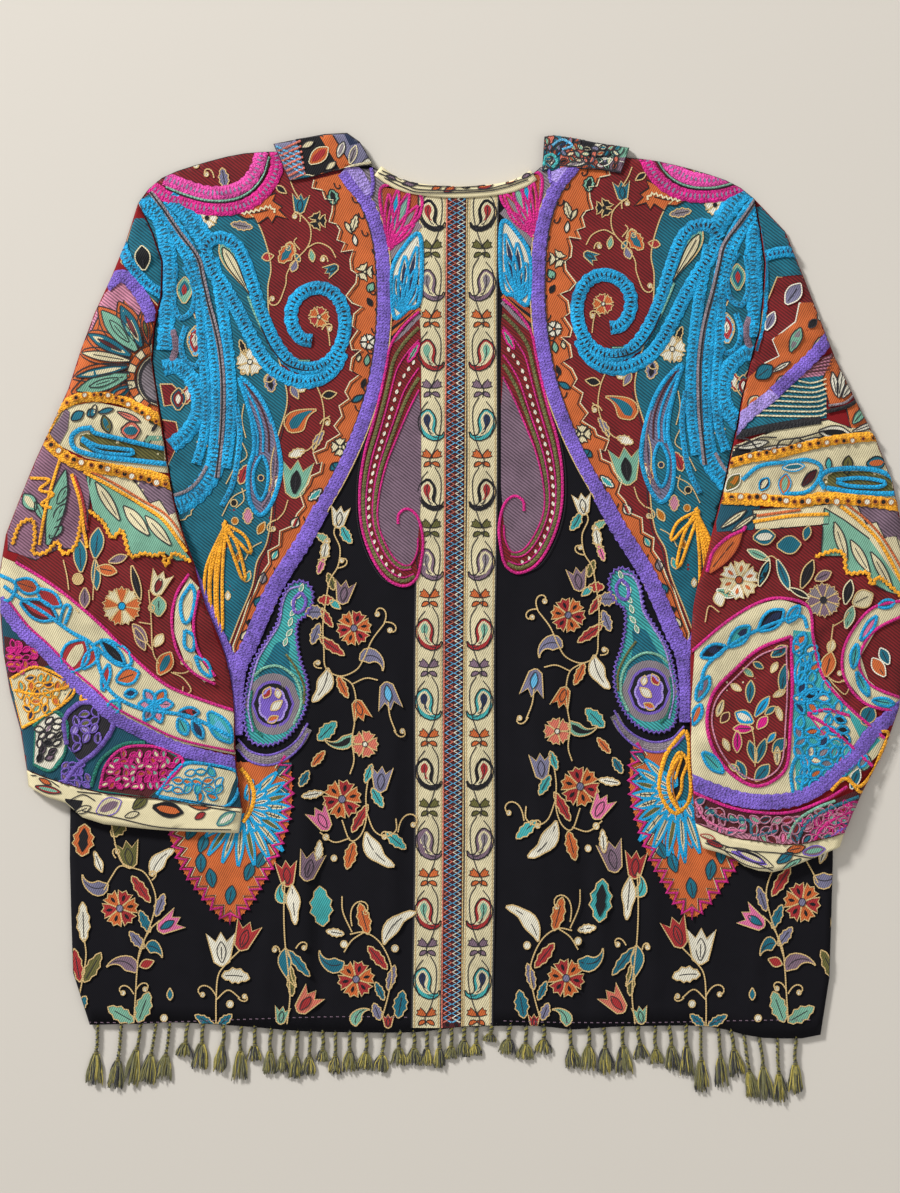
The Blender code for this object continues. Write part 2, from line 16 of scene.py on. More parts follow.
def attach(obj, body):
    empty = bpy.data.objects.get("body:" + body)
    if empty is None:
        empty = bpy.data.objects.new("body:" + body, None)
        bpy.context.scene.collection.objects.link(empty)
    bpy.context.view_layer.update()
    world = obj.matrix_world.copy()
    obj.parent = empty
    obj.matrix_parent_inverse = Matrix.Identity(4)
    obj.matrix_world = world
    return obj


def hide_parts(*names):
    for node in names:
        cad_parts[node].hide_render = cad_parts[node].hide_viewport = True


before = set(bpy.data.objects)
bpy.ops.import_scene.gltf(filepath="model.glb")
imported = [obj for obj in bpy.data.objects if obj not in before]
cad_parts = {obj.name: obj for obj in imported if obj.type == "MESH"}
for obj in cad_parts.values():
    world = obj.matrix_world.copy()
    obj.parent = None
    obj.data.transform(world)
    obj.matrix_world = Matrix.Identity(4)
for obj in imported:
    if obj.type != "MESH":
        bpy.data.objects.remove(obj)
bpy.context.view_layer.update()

STEP = 0.0008                     # metres in one grid step
HEM_MIDDLE_GRID = (457.0, 1030.0)  # the middle of the hem on the grid
HEM_MIDDLE = (0.004, -0.329)      # and in the part's frame
MIRROR_SUM = 922.0                # a place and its mirrored place add up to this along the rows
MIRROR_RISE = 13.0                # the right half lies this much higher, fading out at the hem
MIRROR_FADE = (780.0, 240.0)      # from this row on, over so many rows
TURNS = 23                        # strips in a row that all get a lift of their own
TURN_LIFT = 0.004                 # millimetres between the lifts of two such strips
CELL = 4.0                        # large woven fields are cut into cells of this size
LAYER = 0.035                     # millimetres that each woven field adds to what is laid after it

DYES = {
    "black": "100f14", "soot": "262328", "crimson": "7a171b", "wine": "4c1419", "red": "a42a2c",
    "teal": "14687c", "deep teal": "0f4a5c", "blue": "0498cc", "sky": "5fb0d8", "ink": "1f2c4c",
    "purple": "765abb", "lilac": "a08ad2", "magenta": "ca107c", "fuchsia": "e0459f", "pink": "dd6f9d",
    "rose": "c9839a", "yellow": "f5a81c", "amber": "b46a12", "orange": "c8642f", "rust": "a84a26",
    "salmon": "d4715c",
    "cream": "d9cda6", "pale": "e2dcc8", "beige": "c9ab74", "mauve": "7c6474", "dusk": "77748f",
    "grey": "857a80", "seafoam": "78ad94", "aqua": "3fa6a6", "olive": "636030", "moss": "7e741c",
    # the straw dye is a painted highlight colour for the tassel yarns
    "straw_highlight": "a8983a", "green": "13705f", "plum": "8c6478",
}


def linear(name):
    """A dye as linear red, green, blue and 1."""
    code = DYES[name]
    parts = [int(code[k:k + 2], 16) / 255 for k in (0, 2, 4)]
    return (*[p / 12.92 if p < 0.04045 else ((p + 0.055) / 1.055) ** 2.4 for p in parts], 1.0)


def place(c, r):
    """A grid place in metres of the part's frame."""
    return (HEM_MIDDLE[0] + (c - HEM_MIDDLE_GRID[0]) * STEP,
            HEM_MIDDLE[1] + (HEM_MIDDLE_GRID[1] - r) * STEP)


def soft(x):
    x = min(max(x, 0.0), 1.0)
    return x * x * (3 - 2 * x)


class Value:
    """A socket in a node tree that takes part in plain arithmetic."""

    def __init__(self, tree, socket):
        self.tree, self.socket = tree, socket

    def math(self, operation, *others, flip=False):
        values = [self, *others]
        if flip:
            values.reverse()
        return self.tree.add("ShaderNodeMath", {"operation": operation}, values)

    def __add__(self, other):
        return self.math("ADD", other)

    def __radd__(self, other):
        return self.math("ADD", other, flip=True)

    def __sub__(self, other):
        return self.math("SUBTRACT", other)

    def __rsub__(self, other):
        return self.math("SUBTRACT", other, flip=True)

    def __mul__(self, other):
        return self.math("MULTIPLY", other)

    def sine(self):
        return self.math("SINE")

    def size(self):
        return self.math("ABSOLUTE")

    def part(self):
        return self.math("FRACT")

    def under(self, other):
        return self.math("LESS_THAN", other)


class Finish:
    """A material's node tree around one Principled shader."""

    def __init__(self, name, rough=0.8, sheen=0.25, specular=0.3):
        self.material = bpy.data.materials.new(name)
        self.material.use_nodes = True
        self.nodes = self.material.node_tree.nodes
        self.links = self.material.node_tree.links
        self.shader = self.nodes["Principled BSDF"]
        for socket, value in (("Roughness", rough), ("Sheen Weight", sheen),
                              ("Sheen Roughness", 0.5), ("Specular IOR Level", specular)):
            self.shader.inputs[socket].default_value = value

    def add(self, kind, settings=None, values=(), output=0):
        """A node of a type, its settings first, then the values or links of its sockets."""
        node = self.nodes.new(kind)
        for key, setting in (settings or {}).items():
            setattr(node, key, setting)
        pairs = values.items() if isinstance(values, dict) else enumerate(values)
        for key, value in pairs:
            if isinstance(value, Value):
                self.links.new(value.socket, node.inputs[key])
            else:
                node.inputs[key].default_value = value
        return Value(self, node.outputs[output])

    def coords(self):
        return self.add("ShaderNodeTexCoord", output="Object")

    def stitch_map(self):
        """Along the stitch line in millimetres, and across it from -1 to 1."""
        split = self.nodes.new("ShaderNodeSeparateXYZ")
        uv = self.add("ShaderNodeUVMap", {"uv_map": "stitch"})
        self.links.new(uv.socket, split.inputs[0])
        return Value(self, split.outputs[0]), Value(self, split.outputs[1])

    def dye(self, name="dye"):
        return self.add("ShaderNodeAttribute", {"attribute_name": name})

    def speckle(self, scale, detail=2.0):
        return self.add("ShaderNodeTexNoise", {}, {"Vector": self.coords(), "Scale": scale, "Detail": detail})

    def mix(self, share, first, second):
        node = self.nodes.new("ShaderNodeMix")
        node.data_type = "RGBA"
        for key, value in ((0, share), (6, first), (7, second)):
            if isinstance(value, Value):
                self.links.new(value.socket, node.inputs[key])
            else:
                node.inputs[key].default_value = value
        return Value(self, node.outputs[2])

    def shade(self, colour, amount):
        """A colour made darker or lighter by a factor."""
        return self.add("ShaderNodeVectorMath", {"operation": "SCALE"}, {0: colour, "Scale": amount})

    def done(self, colour, height=None, depth=0.0004, strength=0.7, rough=None):
        self.links.new(colour.socket, self.shader.inputs["Base Color"])
        if height is not None:
            bump = self.add("ShaderNodeBump", {}, {"Strength": strength, "Distance": depth,
                                                   "Height": height})
            self.links.new(bump.socket, self.shader.inputs["Normal"])
        if rough is not None:
            self.links.new(rough.socket, self.shader.inputs["Roughness"])
        return self.material


def twill(finish, pitch, angle):
    """Diagonal ribs of a twill, from 0 to 1, a pitch in metres apart."""
    turned = finish.add("ShaderNodeMapping", {}, {"Vector": finish.coords(),
                                                  "Rotation": (0.0, 0.0, math.radians(angle))})
    split = finish.nodes.new("ShaderNodeSeparateXYZ")
    finish.links.new(turned.socket, split.inputs[0])
    across = Value(finish, split.outputs[0])
    wander = finish.speckle(260.0) * 0.35
    return (across * (2 * math.pi / pitch) + wander * 6.0).sine() * 0.5 + 0.5


def plain_cloth(name, dye, lift=1.0):
    """Fine wool twill in one colour, a little uneven."""
    finish = Finish(name, rough=0.86, sheen=0.03, specular=0.12)
    rib = twill(finish, 0.0013, 38)
    cloudy = finish.speckle(55.0, 3.0)
    fuzz = finish.speckle(1900.0, 2.0)
    # The twill's ribs are lighter in colour on their crests and darker between them: painted highlight and
    # shade on a cloth of one colour.
    tone = (rib * 0.22 + cloudy * 0.45 + fuzz * 0.5 + 0.45) * lift
    colour = finish.shade(linear(dye)[:3], tone)
    return finish.done(colour, rib * 0.7 + fuzz * 0.6, 0.00022, 0.6)


def woven(name, pitch, angle, hatch):
    """Coloured pattern weave: floats of the dye between dark binding ribs."""
    finish = Finish(name, rough=0.78, sheen=0.15, specular=0.25)
    rib = twill(finish, pitch, angle)
    fuzz = finish.speckle(1500.0, 2.0)
    cloudy = finish.speckle(70.0, 2.0)
    tone = (1.0 - hatch) + rib * hatch + (fuzz - 0.5) * 0.5 + (cloudy - 0.5) * 0.5
    colour = finish.shade(finish.dye(), tone * 1.12)
    return finish.done(colour, rib * 0.8 + fuzz * 0.5, 0.00035, 0.65)


def thread(name):
    """A single couched thread with small back stitches."""
    finish = Finish(name, rough=0.7, sheen=0.15, specular=0.3)
    along, _ = finish.stitch_map()
    beads = (along * (2 * math.pi / 1.9)).sine() * 0.5 + 0.5
    fuzz = finish.speckle(1700.0)
    # Each back stitch is lighter in colour on its crest, where the beads rise: a painted highlight.
    colour = finish.shade(finish.dye(), beads * 0.4 + fuzz * 0.35 + 0.6)
    return finish.done(colour, beads + fuzz * 0.4, 0.0003, 0.6)


def chain(name, rows, ladder=False, mottle=0.45):
    """Rows of chain stitch: V-shaped loops that catch the light, with gaps if it is a ladder."""
    finish = Finish(name, rough=0.55, sheen=0.12, specular=0.35)
    along, across = finish.stitch_map()
    lane = (across * (rows / 2.0) + 0.5 * (rows % 2)).part()
    ridge = 1.0 - (lane - 0.5).size() * 2.0
    wander = finish.speckle(420.0)
    loops = ((along * (1.0 / 2.9) - ridge * 0.5 + wander * 1.8) * (2 * math.pi)).sine() * 0.5 + 0.5
    fuzz = finish.speckle(900.0, 3.0)
    patches = finish.speckle(170.0, 3.0) + finish.speckle(34.0, 1.0) * 0.8 - 0.4
    height = ridge * 0.45 + loops * 0.75 + fuzz * 0.7
    # The tone is lighter on the loops and on the ridges of the rows, where the stitches stand highest: a
    # painted highlight.
    tone = loops * 0.4 + ridge * 0.15 + (patches - 0.5) * mottle * 3.0 + (fuzz - 0.5) * 1.4 + 0.7
    colour = finish.shade(finish.dye(), tone)
    if ladder:
        u = ((along * (1.0 / 3.6) + wander * 0.5).part() - 0.5) * 2.2
        v = across * 1.35 + (finish.speckle(300.0) - 0.5) * 1.2
        gap = (u * u + v * v).under(0.2)
        colour = finish.mix(gap, colour, finish.dye("ground"))
        height = height * (1.0 - gap)
    return finish.done(colour, height, 0.0009, 0.85, 0.5 + fuzz * 0.3)


FINISHES = ("weave", "satin", "thread", "chain", "ladder", "narrow_chain")


def ornament_materials():
    return [woven("pattern_weave", 0.0022, -52, 0.68), woven("motif_weave", 0.0016, 28, 0.46),
            thread("outline_thread"), chain("chain_stitch", 4), chain("ladder_stitch", 3, True),
            chain("narrow_chain_stitch", 1, mottle=0.3)]


PROFILES = {
    "leaf": (0.06, 0.5, 0.82, 0.98, 1.0, 0.88, 0.64, 0.36, 0.04),
    "petal": (0.22, 0.5, 0.76, 0.94, 1.0, 0.98, 0.82, 0.5, 0.1),
    "drop": (0.2, 0.72, 0.95, 1.0, 0.93, 0.77, 0.58, 0.4, 0.26, 0.15, 0.06),
    "ragged": (0.06, 0.6, 0.62, 1.04, 0.82, 1.0, 0.6, 0.54, 0.04),
    "disc": (0.02, 0.66, 0.87, 0.97, 1.0, 0.97, 0.87, 0.66, 0.02),
    "pod": (0.1, 0.42, 0.75, 0.96, 1.0, 0.84, 0.6, 0.5, 0.42, 0.1),
    "claw": (0.1, 0.62, 0.94, 1.0, 0.84, 0.62, 0.44, 0.28, 0.14, 0.04),
}


TULIP = ((0.0, -0.06), (0.12, -0.27), (0.45, -0.36), (0.98, -0.5), (0.72, -0.19), (1.0, 0.0),
         (0.72, 0.19), (0.98, 0.5), (0.45, 0.36), (0.12, 0.27), (0.0, 0.06))
FAN = ((0.0, -0.1), (0.4, -0.36), (0.88, -0.5), (0.8, -0.2), (1.0, 0.0), (0.8, 0.2), (0.88, 0.5),
       (0.4, 0.36), (0.0, 0.1))
BLOCK = ((0, -0.5), (1, -0.55), (1, 0.55), (0, 0.5))


def smooth(points, step=2.2, closed=False):
    """A smooth curve through grid places, as places about a step apart."""
    pts = list(points)
    if closed:
        ends = [pts[-1]] + pts + pts[:2]
    else:
        ends = [(2 * pts[0][0] - pts[1][0], 2 * pts[0][1] - pts[1][1])] + pts
        ends.append((2 * pts[-1][0] - pts[-2][0], 2 * pts[-1][1] - pts[-2][1]))
    line = []
    for a, b, c, d in zip(ends, ends[1:], ends[2:], ends[3:]):
        count = max(1, round(math.dist(b, c) / step))
        for k in range(count):
            t = k / count
            line.append(tuple(0.5 * (2 * q + (s - p) * t + (2 * p - 5 * q + 4 * s - w) * t * t
                                     + (3 * q - p - 3 * s + w) * t ** 3)
                              for p, q, s, w in zip(a, b, c, d)))
    line.append(line[0] if closed else pts[-1])
    return line


def holds(outline, c, r):
    """Whether a place is inside an outline."""
    odd = False
    for (c0, r0), (c1, r1) in zip(outline, outline[1:] + outline[:1]):
        if (r0 > r) != (r1 > r) and c < c0 + (c1 - c0) * (r - r0) / (r1 - r0):
            odd = not odd
    return odd


def heading(angle):
    """One step in a direction: right is 0 degrees, up is 90."""
    return math.cos(math.radians(angle)), -math.sin(math.radians(angle))


def normal_at(line, k):
    """One step across a line at its k-th place."""
    a, b = line[max(k - 1, 0)], line[min(k + 1, len(line) - 1)]
    size = math.dist(a, b) or 1.0
    return -(b[1] - a[1]) / size, (b[0] - a[0]) / size


def spine(c, r, angle, length, bend, count, late=1.0):
    """A line from a place that turns by bend on its way, later the more late is over 1."""
    line = [(c, r)]
    for k in range(count):
        t = (k + 0.5) / count
        dc, dr = heading(angle + bend * t ** late)
        c, r = c + dc * length / count, r + dr * length / count
        line.append((c, r))
    return line


class Work:
    """Woven shapes and stitches of one cloth piece, kept flat until they are laid on it."""

    def __init__(self):
        self.places, self.lifts, self.dyes, self.grounds, self.map = [], [], [], [], []
        self.faces, self.finishes = [], []
        self.mirrored = False
        self.turn = 0
        self.layers = 0

    def spot(self, c, r, lift, dye, ground, along=0.0, across=0.0):
        if self.mirrored:
            fade = soft((r - MIRROR_FADE[0]) / MIRROR_FADE[1])
            c, r = MIRROR_SUM - c, r - MIRROR_RISE * (1.0 - fade)
        self.places.append((c, r))
        self.lifts.append(lift + self.layers * LAYER)
        self.dyes.append(dye)
        self.grounds.append(ground)
        self.map.append((along, across))

    def apart(self, lift):
        """A lift made a little different from those of the strips before it."""
        self.turn = (self.turn + 1) % TURNS
        return lift + self.turn * TURN_LIFT

    def face(self, corners, finish):
        self.faces.append(tuple(reversed(corners)) if self.mirrored else tuple(corners))
        self.finishes.append(FINISHES.index(finish))

    def band(self, line, width, dye, finish="thread", lift=0.45, crown=0.0, columns=1,
             ground="black"):
        """A strip along a line of places, as wide as a number or a list says, domed by crown."""
        widths = width if isinstance(width, (list, tuple)) else [width] * len(line)
        start, reach = len(self.places), 0.0
        lift = self.apart(lift)
        for k, (c, r) in enumerate(line):
            nc, nr = normal_at(line, k)
            reach += math.dist(line[k - 1], line[k]) * STEP * 1000 if k else 0.0
            for j in range(columns + 1):
                v = 2.0 * j / columns - 1.0
                half = widths[k] / 2
                self.spot(c + nc * v * half, r + nr * v * half, lift + crown * (1 - v * v),
                          dye, ground, reach, v)
        row = columns + 1
        for k in range(len(line) - 1):
            for j in range(columns):
                a = start + k * row + j
                self.face((a, a + 1, a + row + 1, a + row), finish)

    def cord(self, points, width, dye, lift=0.5, crown=0.5, closed=False):
        """One raised chain row along a smooth line."""
        self.band(smooth(points, 2.4, closed), width, dye, "narrow_chain", lift, crown, 2)

    def stitched(self, points, width, dye, finish="chain", ground="black", lift=0.5, crown=0.9):
        """A raised band of several chain rows along a smooth line."""
        line = smooth(points, 2.8)
        widths = [width * (1 + 0.06 * math.sin(1.7 * k) + 0.05 * math.sin(4.3 * k + 1))
                  for k in range(len(line))]
        self.band(line, widths, dye, finish, lift, crown, 4, ground)

    def line(self, points, dye="beige", width=1.2, lift=0.5):
        self.band(smooth(points, 2.6), width, dye, "thread", lift)

    def field(self, outline, dye, finish="weave", lift=0.12, edge=None, edge_width=1.3):
        """A woven area inside an outline, cut into small cells so that it follows the cloth."""
        self.layers += 1
        bm = bmesh.new()
        bm.faces.new([bm.verts.new((c, -r, 0.0)) for c, r in outline])
        for axis in (0, 1):
            values = [(p[0], -p[1])[axis] for p in outline]
            at = math.ceil(min(values) / CELL) * CELL
            while at < max(values):
                normal = (1, 0, 0) if axis == 0 else (0, 1, 0)
                bmesh.ops.bisect_plane(bm, geom=bm.verts[:] + bm.edges[:] + bm.faces[:], dist=1e-5,
                                       plane_co=[at * n for n in normal], plane_no=normal)
                at += CELL
        bmesh.ops.triangulate(bm, faces=bm.faces)
        bm.normal_update()
        start = len(self.places)
        bm.verts.index_update()
        for vert in bm.verts:
            self.spot(vert.co.x, -vert.co.y, lift, dye, "black", vert.co.x, 0.0)
        for face in bm.faces:
            corners = [start + v.index for v in face.verts]
            if face.normal.z < 0:
                corners.reverse()
            self.face(corners, finish)
        bm.free()
        if edge:
            self.band(list(outline) + [outline[0]], edge_width, edge, "thread", lift + 0.14)

    def rounded(self, outline, step, dye, finish="weave"):
        """A field inside the smooth closed curve through an outline's places."""
        self.field(smooth(outline, step, True)[:-1], dye, finish)

    def blade(self, c, r, angle, length, width, dye, bend=0.0, shape="leaf", edge="beige",
              heart=None, lift=0.3, late=1.0, thick=1.2, raised=0.0):
        """A leaf, petal, drop or disc that grows from a place, with an outline and a heart."""
        if shape == "leaf" and length > 15:
            shape = "ragged"
        profile = PROFILES[shape]
        line = spine(c, r, angle, length, bend, len(profile) - 1, late)
        self.band(line, [width * p for p in profile], dye, "satin", lift)
        if heart:
            shares = [width * 0.46 * p for p in profile[1:-1]]
            shares[0], shares[-1] = shares[0] * 0.2, shares[-1] * 0.2
            self.band(line[1:-1], shares, heart, "satin", lift + 0.12)
        elif length > 17 and shape != "disc":
            self.band(line[1:-2], 0.9, "soot", "thread", lift + 0.1)
        if edge:
            stitch = ("narrow_chain", raised, 2) if raised else ()
            self.rim(line, [width * p for p in profile], edge, lift + 0.2, thick, *stitch)

    def rim(self, line, widths, dye, lift, thick, finish="thread", crown=0.0, columns=1):
        """An outline thread round a strip."""
        sides = ([], [])
        for k, (c, r) in enumerate(line):
            nc, nr = normal_at(line, k)
            for sign, side in ((-1, sides[0]), (1, sides[1])):
                side.append((c + nc * sign * widths[k] / 2, r + nr * sign * widths[k] / 2))
        loop = sides[0] + sides[1][::-1]
        self.band(loop + [loop[0]], thick, dye, finish, lift, crown, columns)

    def toward(self, c, r, tip_c, tip_r, width, dye, edge="beige", heart=None, lift=0.3, thick=1.2,
               raised=0.0):
        """A blade that grows from one place to another."""
        angle = math.degrees(math.atan2(r - tip_r, tip_c - c))
        self.blade(c, r, angle, math.dist((c, r), (tip_c, tip_r)), width, dye, 0.0, "petal", edge,
                   heart, lift, thick=thick, raised=raised)

    def ringed(self, points, width):
        """A yellow chain band with a row of dark stitched rings."""
        self.stitched(points, width, "yellow", "chain", "black", 0.6, 1.1)
        for k, (c, r) in enumerate(smooth(points, 8.6)[1:-1]):
            size = width * (0.42 + 0.08 * (k % 3))
            self.blade(c - size / 2, r, 20 * k, size, size * 0.9, ("wine", "black", "pale")[k % 3], 0,
                       "disc", "amber", lift=1.75, thick=1.2)

    def scatter(self, outline, pitch, dyes, edge, seed, thick=1.6, raised=0.5):
        """Small stitched leaves side by side at random inside an outline."""
        draw = random.Random(seed)
        cs, rs = [p[0] for p in outline], [p[1] for p in outline]
        r = min(rs) + pitch / 2
        while r < max(rs):
            c = min(cs) + draw.uniform(0.2, 0.8) * pitch
            while c < max(cs):
                angle, bend = draw.uniform(0, 360), draw.uniform(-70, 70)
                dye, tone = draw.choice(dyes), draw.choice(dyes)
                dc, dr = heading(angle)
                if holds(outline, c, r):
                    self.blade(c - dc * pitch * 0.55, r - dr * pitch * 0.55, angle, pitch * 1.1,
                               pitch * 0.66, dye, bend, "petal", edge, tone, 0.35, thick=thick,
                               raised=raised)
                c += pitch
            r += pitch * 0.82

    def berry(self, c, r, size, dye="pale", edge="beige"):
        self.blade(c - size / 2, r, 0, size, size, dye, shape="disc", edge=edge, thick=1.0)

    def curl(self, c, r, angle, length, side=1, dye="beige", berry="pale"):
        """A tendril that winds up at its end, with a berry in it."""
        line = spine(c, r, angle, length, side * 250, 12, 2.2)
        self.band(line, 1.3, dye, "thread", 0.5)
        if berry:
            self.berry(line[-1][0], line[-1][1], 4.6, berry)

    def patch(self, c, r, angle, outline, length, width, dye, edge="beige", lift=0.3, thick=1.2):
        """A shape whose outline is given in shares of its length and width."""
        lift = self.apart(lift)
        dc, dr = heading(angle)
        spots = [(c + dc * u * length - dr * v * width, r + dr * u * length + dc * v * width)
                 for u, v in outline]
        start, count = len(self.places), len(spots)
        for k, (pc, pr) in enumerate([(c + dc * length / 2, r + dr * length / 2)] + spots):
            self.spot(pc, pr, lift, dye, "black", float(k), min(k, 1))
        for k in range(count):
            self.face((start, start + 1 + (k + 1) % count, start + 1 + k), "satin")
        if edge:
            self.band(spots + [spots[0]], thick, edge, "thread", lift + 0.14)

    def tulip(self, c, r, angle, size, dye, edge="beige", heart=None):
        """A flower seen from the side, with three points."""
        self.patch(c, r, angle, TULIP, size, size * 0.86, dye, edge)
        dc, dr = heading(angle)
        self.blade(c + dc * size * 0.12, r + dr * size * 0.12, angle, size * 0.6, size * 0.26,
                   heart or dye, 0, "petal", "soot", lift=0.45, thick=0.9)

    def flower(self, c, r, radius, petals, dye, heart="dusk", edge="beige", second=None, turn=0.0,
               stamen="black"):
        """An open flower: notched petals round a small disc."""
        for k in range(petals):
            angle = turn + 360.0 * k / petals
            dc, dr = heading(angle)
            tone = second if second and k % 2 else dye
            self.patch(c + dc * radius * 0.18, r + dr * radius * 0.18, angle, FAN, radius * 0.86,
                       radius * 5.0 / petals, tone, edge)
            if stamen:
                self.blade(c + dc * radius * 0.42, r + dr * radius * 0.42, angle, radius * 0.36,
                           radius * 0.17, stamen, 0, "petal", None, lift=0.5)
        self.blade(c - radius * 0.2, r, 0, radius * 0.4, radius * 0.4, heart, shape="disc",
                   edge="soot", lift=0.62, thick=0.8)

    def paisley(self, c, r, angle, length, width, dyes, curl, edge, lift):
        """A drop with a curled tip, filled by smaller drops; dyes run from outside to inside."""
        for k, dye in enumerate(dyes):
            share = 1.0 - 0.3 * k
            dc, dr = heading(angle)
            shift = length * 0.055 * k
            self.blade(c + dc * shift, r + dr * shift, angle, length * share, width * share, dye,
                       curl * 190 * share, "drop", edge if k == 0 else None, lift=lift + 0.1 * k,
                       late=2.6)


REACH = 0.0014    # ornament lies on the highest cloth within this many metres


class Cloth:
    """A finished cloth piece that ornament is laid on."""

    def __init__(self, item, middle):
        bm = bmesh.new()
        bm.from_mesh(item.data)
        self.tree = BVHTree.FromBMesh(bm)
        bm.free()
        self.middle = middle

    def height(self, x, y):
        return self.tree.ray_cast(Vector((x, y, 0.05)), Vector((0, 0, -1)))[0]

    def settle(self, c, r):
        """Where a grid place comes to lie, and whether it lies on the piece itself."""
        x, y = place(c, r)
        hit = self.height(x, y)
        if hit is not None:
            for dx, dy in ((REACH, 0), (-REACH, 0), (0, REACH), (0, -REACH)):
                other = self.height(x + dx, y + dy)
                if other is not None and other.z > hit.z:
                    hit.z = other.z
            return hit, True
        near = self.tree.find_nearest(Vector((x, y, self.middle)))[0]
        inward = Vector((near.x - x, near.y - y, 0.0))
        hit = None
        if inward.length > 1e-7:
            inward = inward.normalized() * 0.0006
            hit = self.height(near.x + inward.x, near.y + inward.y)
        return (hit if hit is not None else near), False


KINDS = (("ground", ("weave",)), ("motifs", ("satin",)), ("outlines", ("thread",)),
         ("chain_bands", ("chain", "ladder")), ("chain_lines", ("narrow_chain",)))


def mesh_from(bm, name):
    """A mesh that takes over what a bmesh holds."""
    mesh = bpy.data.meshes.new(name)
    bm.to_mesh(mesh)
    bm.free()
    return mesh


def add_object(name, data):
    item = bpy.data.objects.new(name, data)
    bpy.context.scene.collection.objects.link(item)
    return item


def piece(name, mesh, node=None):
    """A piece of the jacket, which shows in place of a CAD node if one is named."""
    item = add_object(name, mesh)
    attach(item, "root")
    if node:
        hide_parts(node)
    return item


def mark(mesh, dyes, stitch_map):
    """Give every vertex its dyes, by the name of their attribute, and its place in the stitches."""
    for key, names in dyes.items():
        layer = mesh.attributes.new(key, "FLOAT_COLOR", "POINT")
        layer.data.foreach_set("color", [part for name in names for part in TONES[name]])
    corners = mesh.uv_layers.new(name="stitch")
    corners.uv.foreach_set("vector", [part for loop in mesh.loops for part in stitch_map[loop.vertex_index]])
    mesh.shade_smooth()


def lay(work, name, cloth):
    """Lay a work on its cloth, as one piece for each kind of weaving or stitch in it."""
    spots, on = [], []
    for (c, r), lift in zip(work.places, work.lifts):
        spot, inside = cloth.settle(c, r)
        spots.append((spot.x, spot.y, spot.z + lift * 0.001))
        on.append(inside)
    pieces = []
    for kind, finishes in KINDS:
        numbers = [FINISHES.index(f) for f in finishes]
        kept = [k for k, corners in enumerate(work.faces)
                if work.finishes[k] in numbers and any(on[v] for v in corners)]
        if not kept:
            continue
        used = sorted({v for k in kept for v in work.faces[k]})
        order = {v: k for k, v in enumerate(used)}
        mesh = bpy.data.meshes.new(f"{name}_{kind}")
        mesh.from_pydata([spots[v] for v in used], [],
                         [[order[v] for v in work.faces[k]] for k in kept])
        mark(mesh, {"dye": [work.dyes[v] for v in used], "ground": [work.grounds[v] for v in used]},
             [work.map[v] for v in used])
        mesh.polygons.foreach_set("material_index",
                                  [numbers.index(work.finishes[k]) for k in kept])
        for number in numbers:
            mesh.materials.append(STITCHES[number])
        bm = bmesh.new()
        bm.from_mesh(mesh)
        bmesh.ops.dissolve_degenerate(bm, dist=1e-6, edges=bm.edges)
        bm.to_mesh(mesh)
        bm.free()
        pieces.append(piece(f"{name}_{kind}", mesh))
    return pieces


CREASE = 2.4      # how strongly the creases of the tables below show


def crease_rise(x, y, creases):
    """Height in millimetres that the listed creases add at a place."""
    rise = 0.0
    for x0, y0, dx, dy, size, half, height in creases:
        rx, ry = x - x0, y - y0
        t = (rx * dx + ry * dy) / (size * size)
        if -0.15 < t < 1.15:
            off = abs(rx * dy - ry * dx) / size / half
            if off < 2.2:
                fade = soft((t + 0.15) / 0.4) * soft((1.15 - t) / 0.4)
                rise += CREASE * height * fade * math.exp(-1.5 * off * off)
    return rise


def crease_lines(table):
    lines = []
    for c0, r0, c1, r1, half, height in table:
        (x0, y0), (x1, y1) = place(c0, r0), place(c1, r1)
        lines.append((x0, y0, x1 - x0, y1 - y0, math.hypot(x1 - x0, y1 - y0), half * STEP, height))
    return lines


def cloth_shell(node, passes, creases, material, uneven):
    """A thin closed shell on a cloth node's form, finer and softer, with its creases."""
    bm = bmesh.new()
    bm.from_mesh(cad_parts[node].data)
    bmesh.ops.remove_doubles(bm, verts=bm.verts, dist=1e-6)
    bmesh.ops.subdivide_edges(bm, edges=bm.edges[:], cuts=2, use_grid_fill=True)
    bm.normal_update()
    upper = [v for v in bm.verts if v.normal.z > 0.25]
    for _ in range(passes):
        bmesh.ops.smooth_vert(bm, verts=upper, factor=0.5, use_axis_x=False, use_axis_y=False,
                              use_axis_z=True)
    bm.normal_update()
    lines = crease_lines(creases)
    for vert in upper:
        x, y, _ = vert.co
        rise = crease_rise(x, y, lines)
        rise += uneven * (noise.noise(Vector((x * 38, y * 30, 1.7))) + 0.5 * noise.noise(
            Vector((x * 110, y * 80, 4.2))))
        sunk = vert.co.z + rise * 0.001 * soft(vert.normal.z * 1.4)
        vert.co.z = max(sunk, 0.4 * vert.co.z, 0.0)
    mesh = mesh_from(bm, node + "_cloth")
    mesh.shade_smooth()
    mesh.materials.append(material)
    return piece(node + "_cloth", mesh, node)


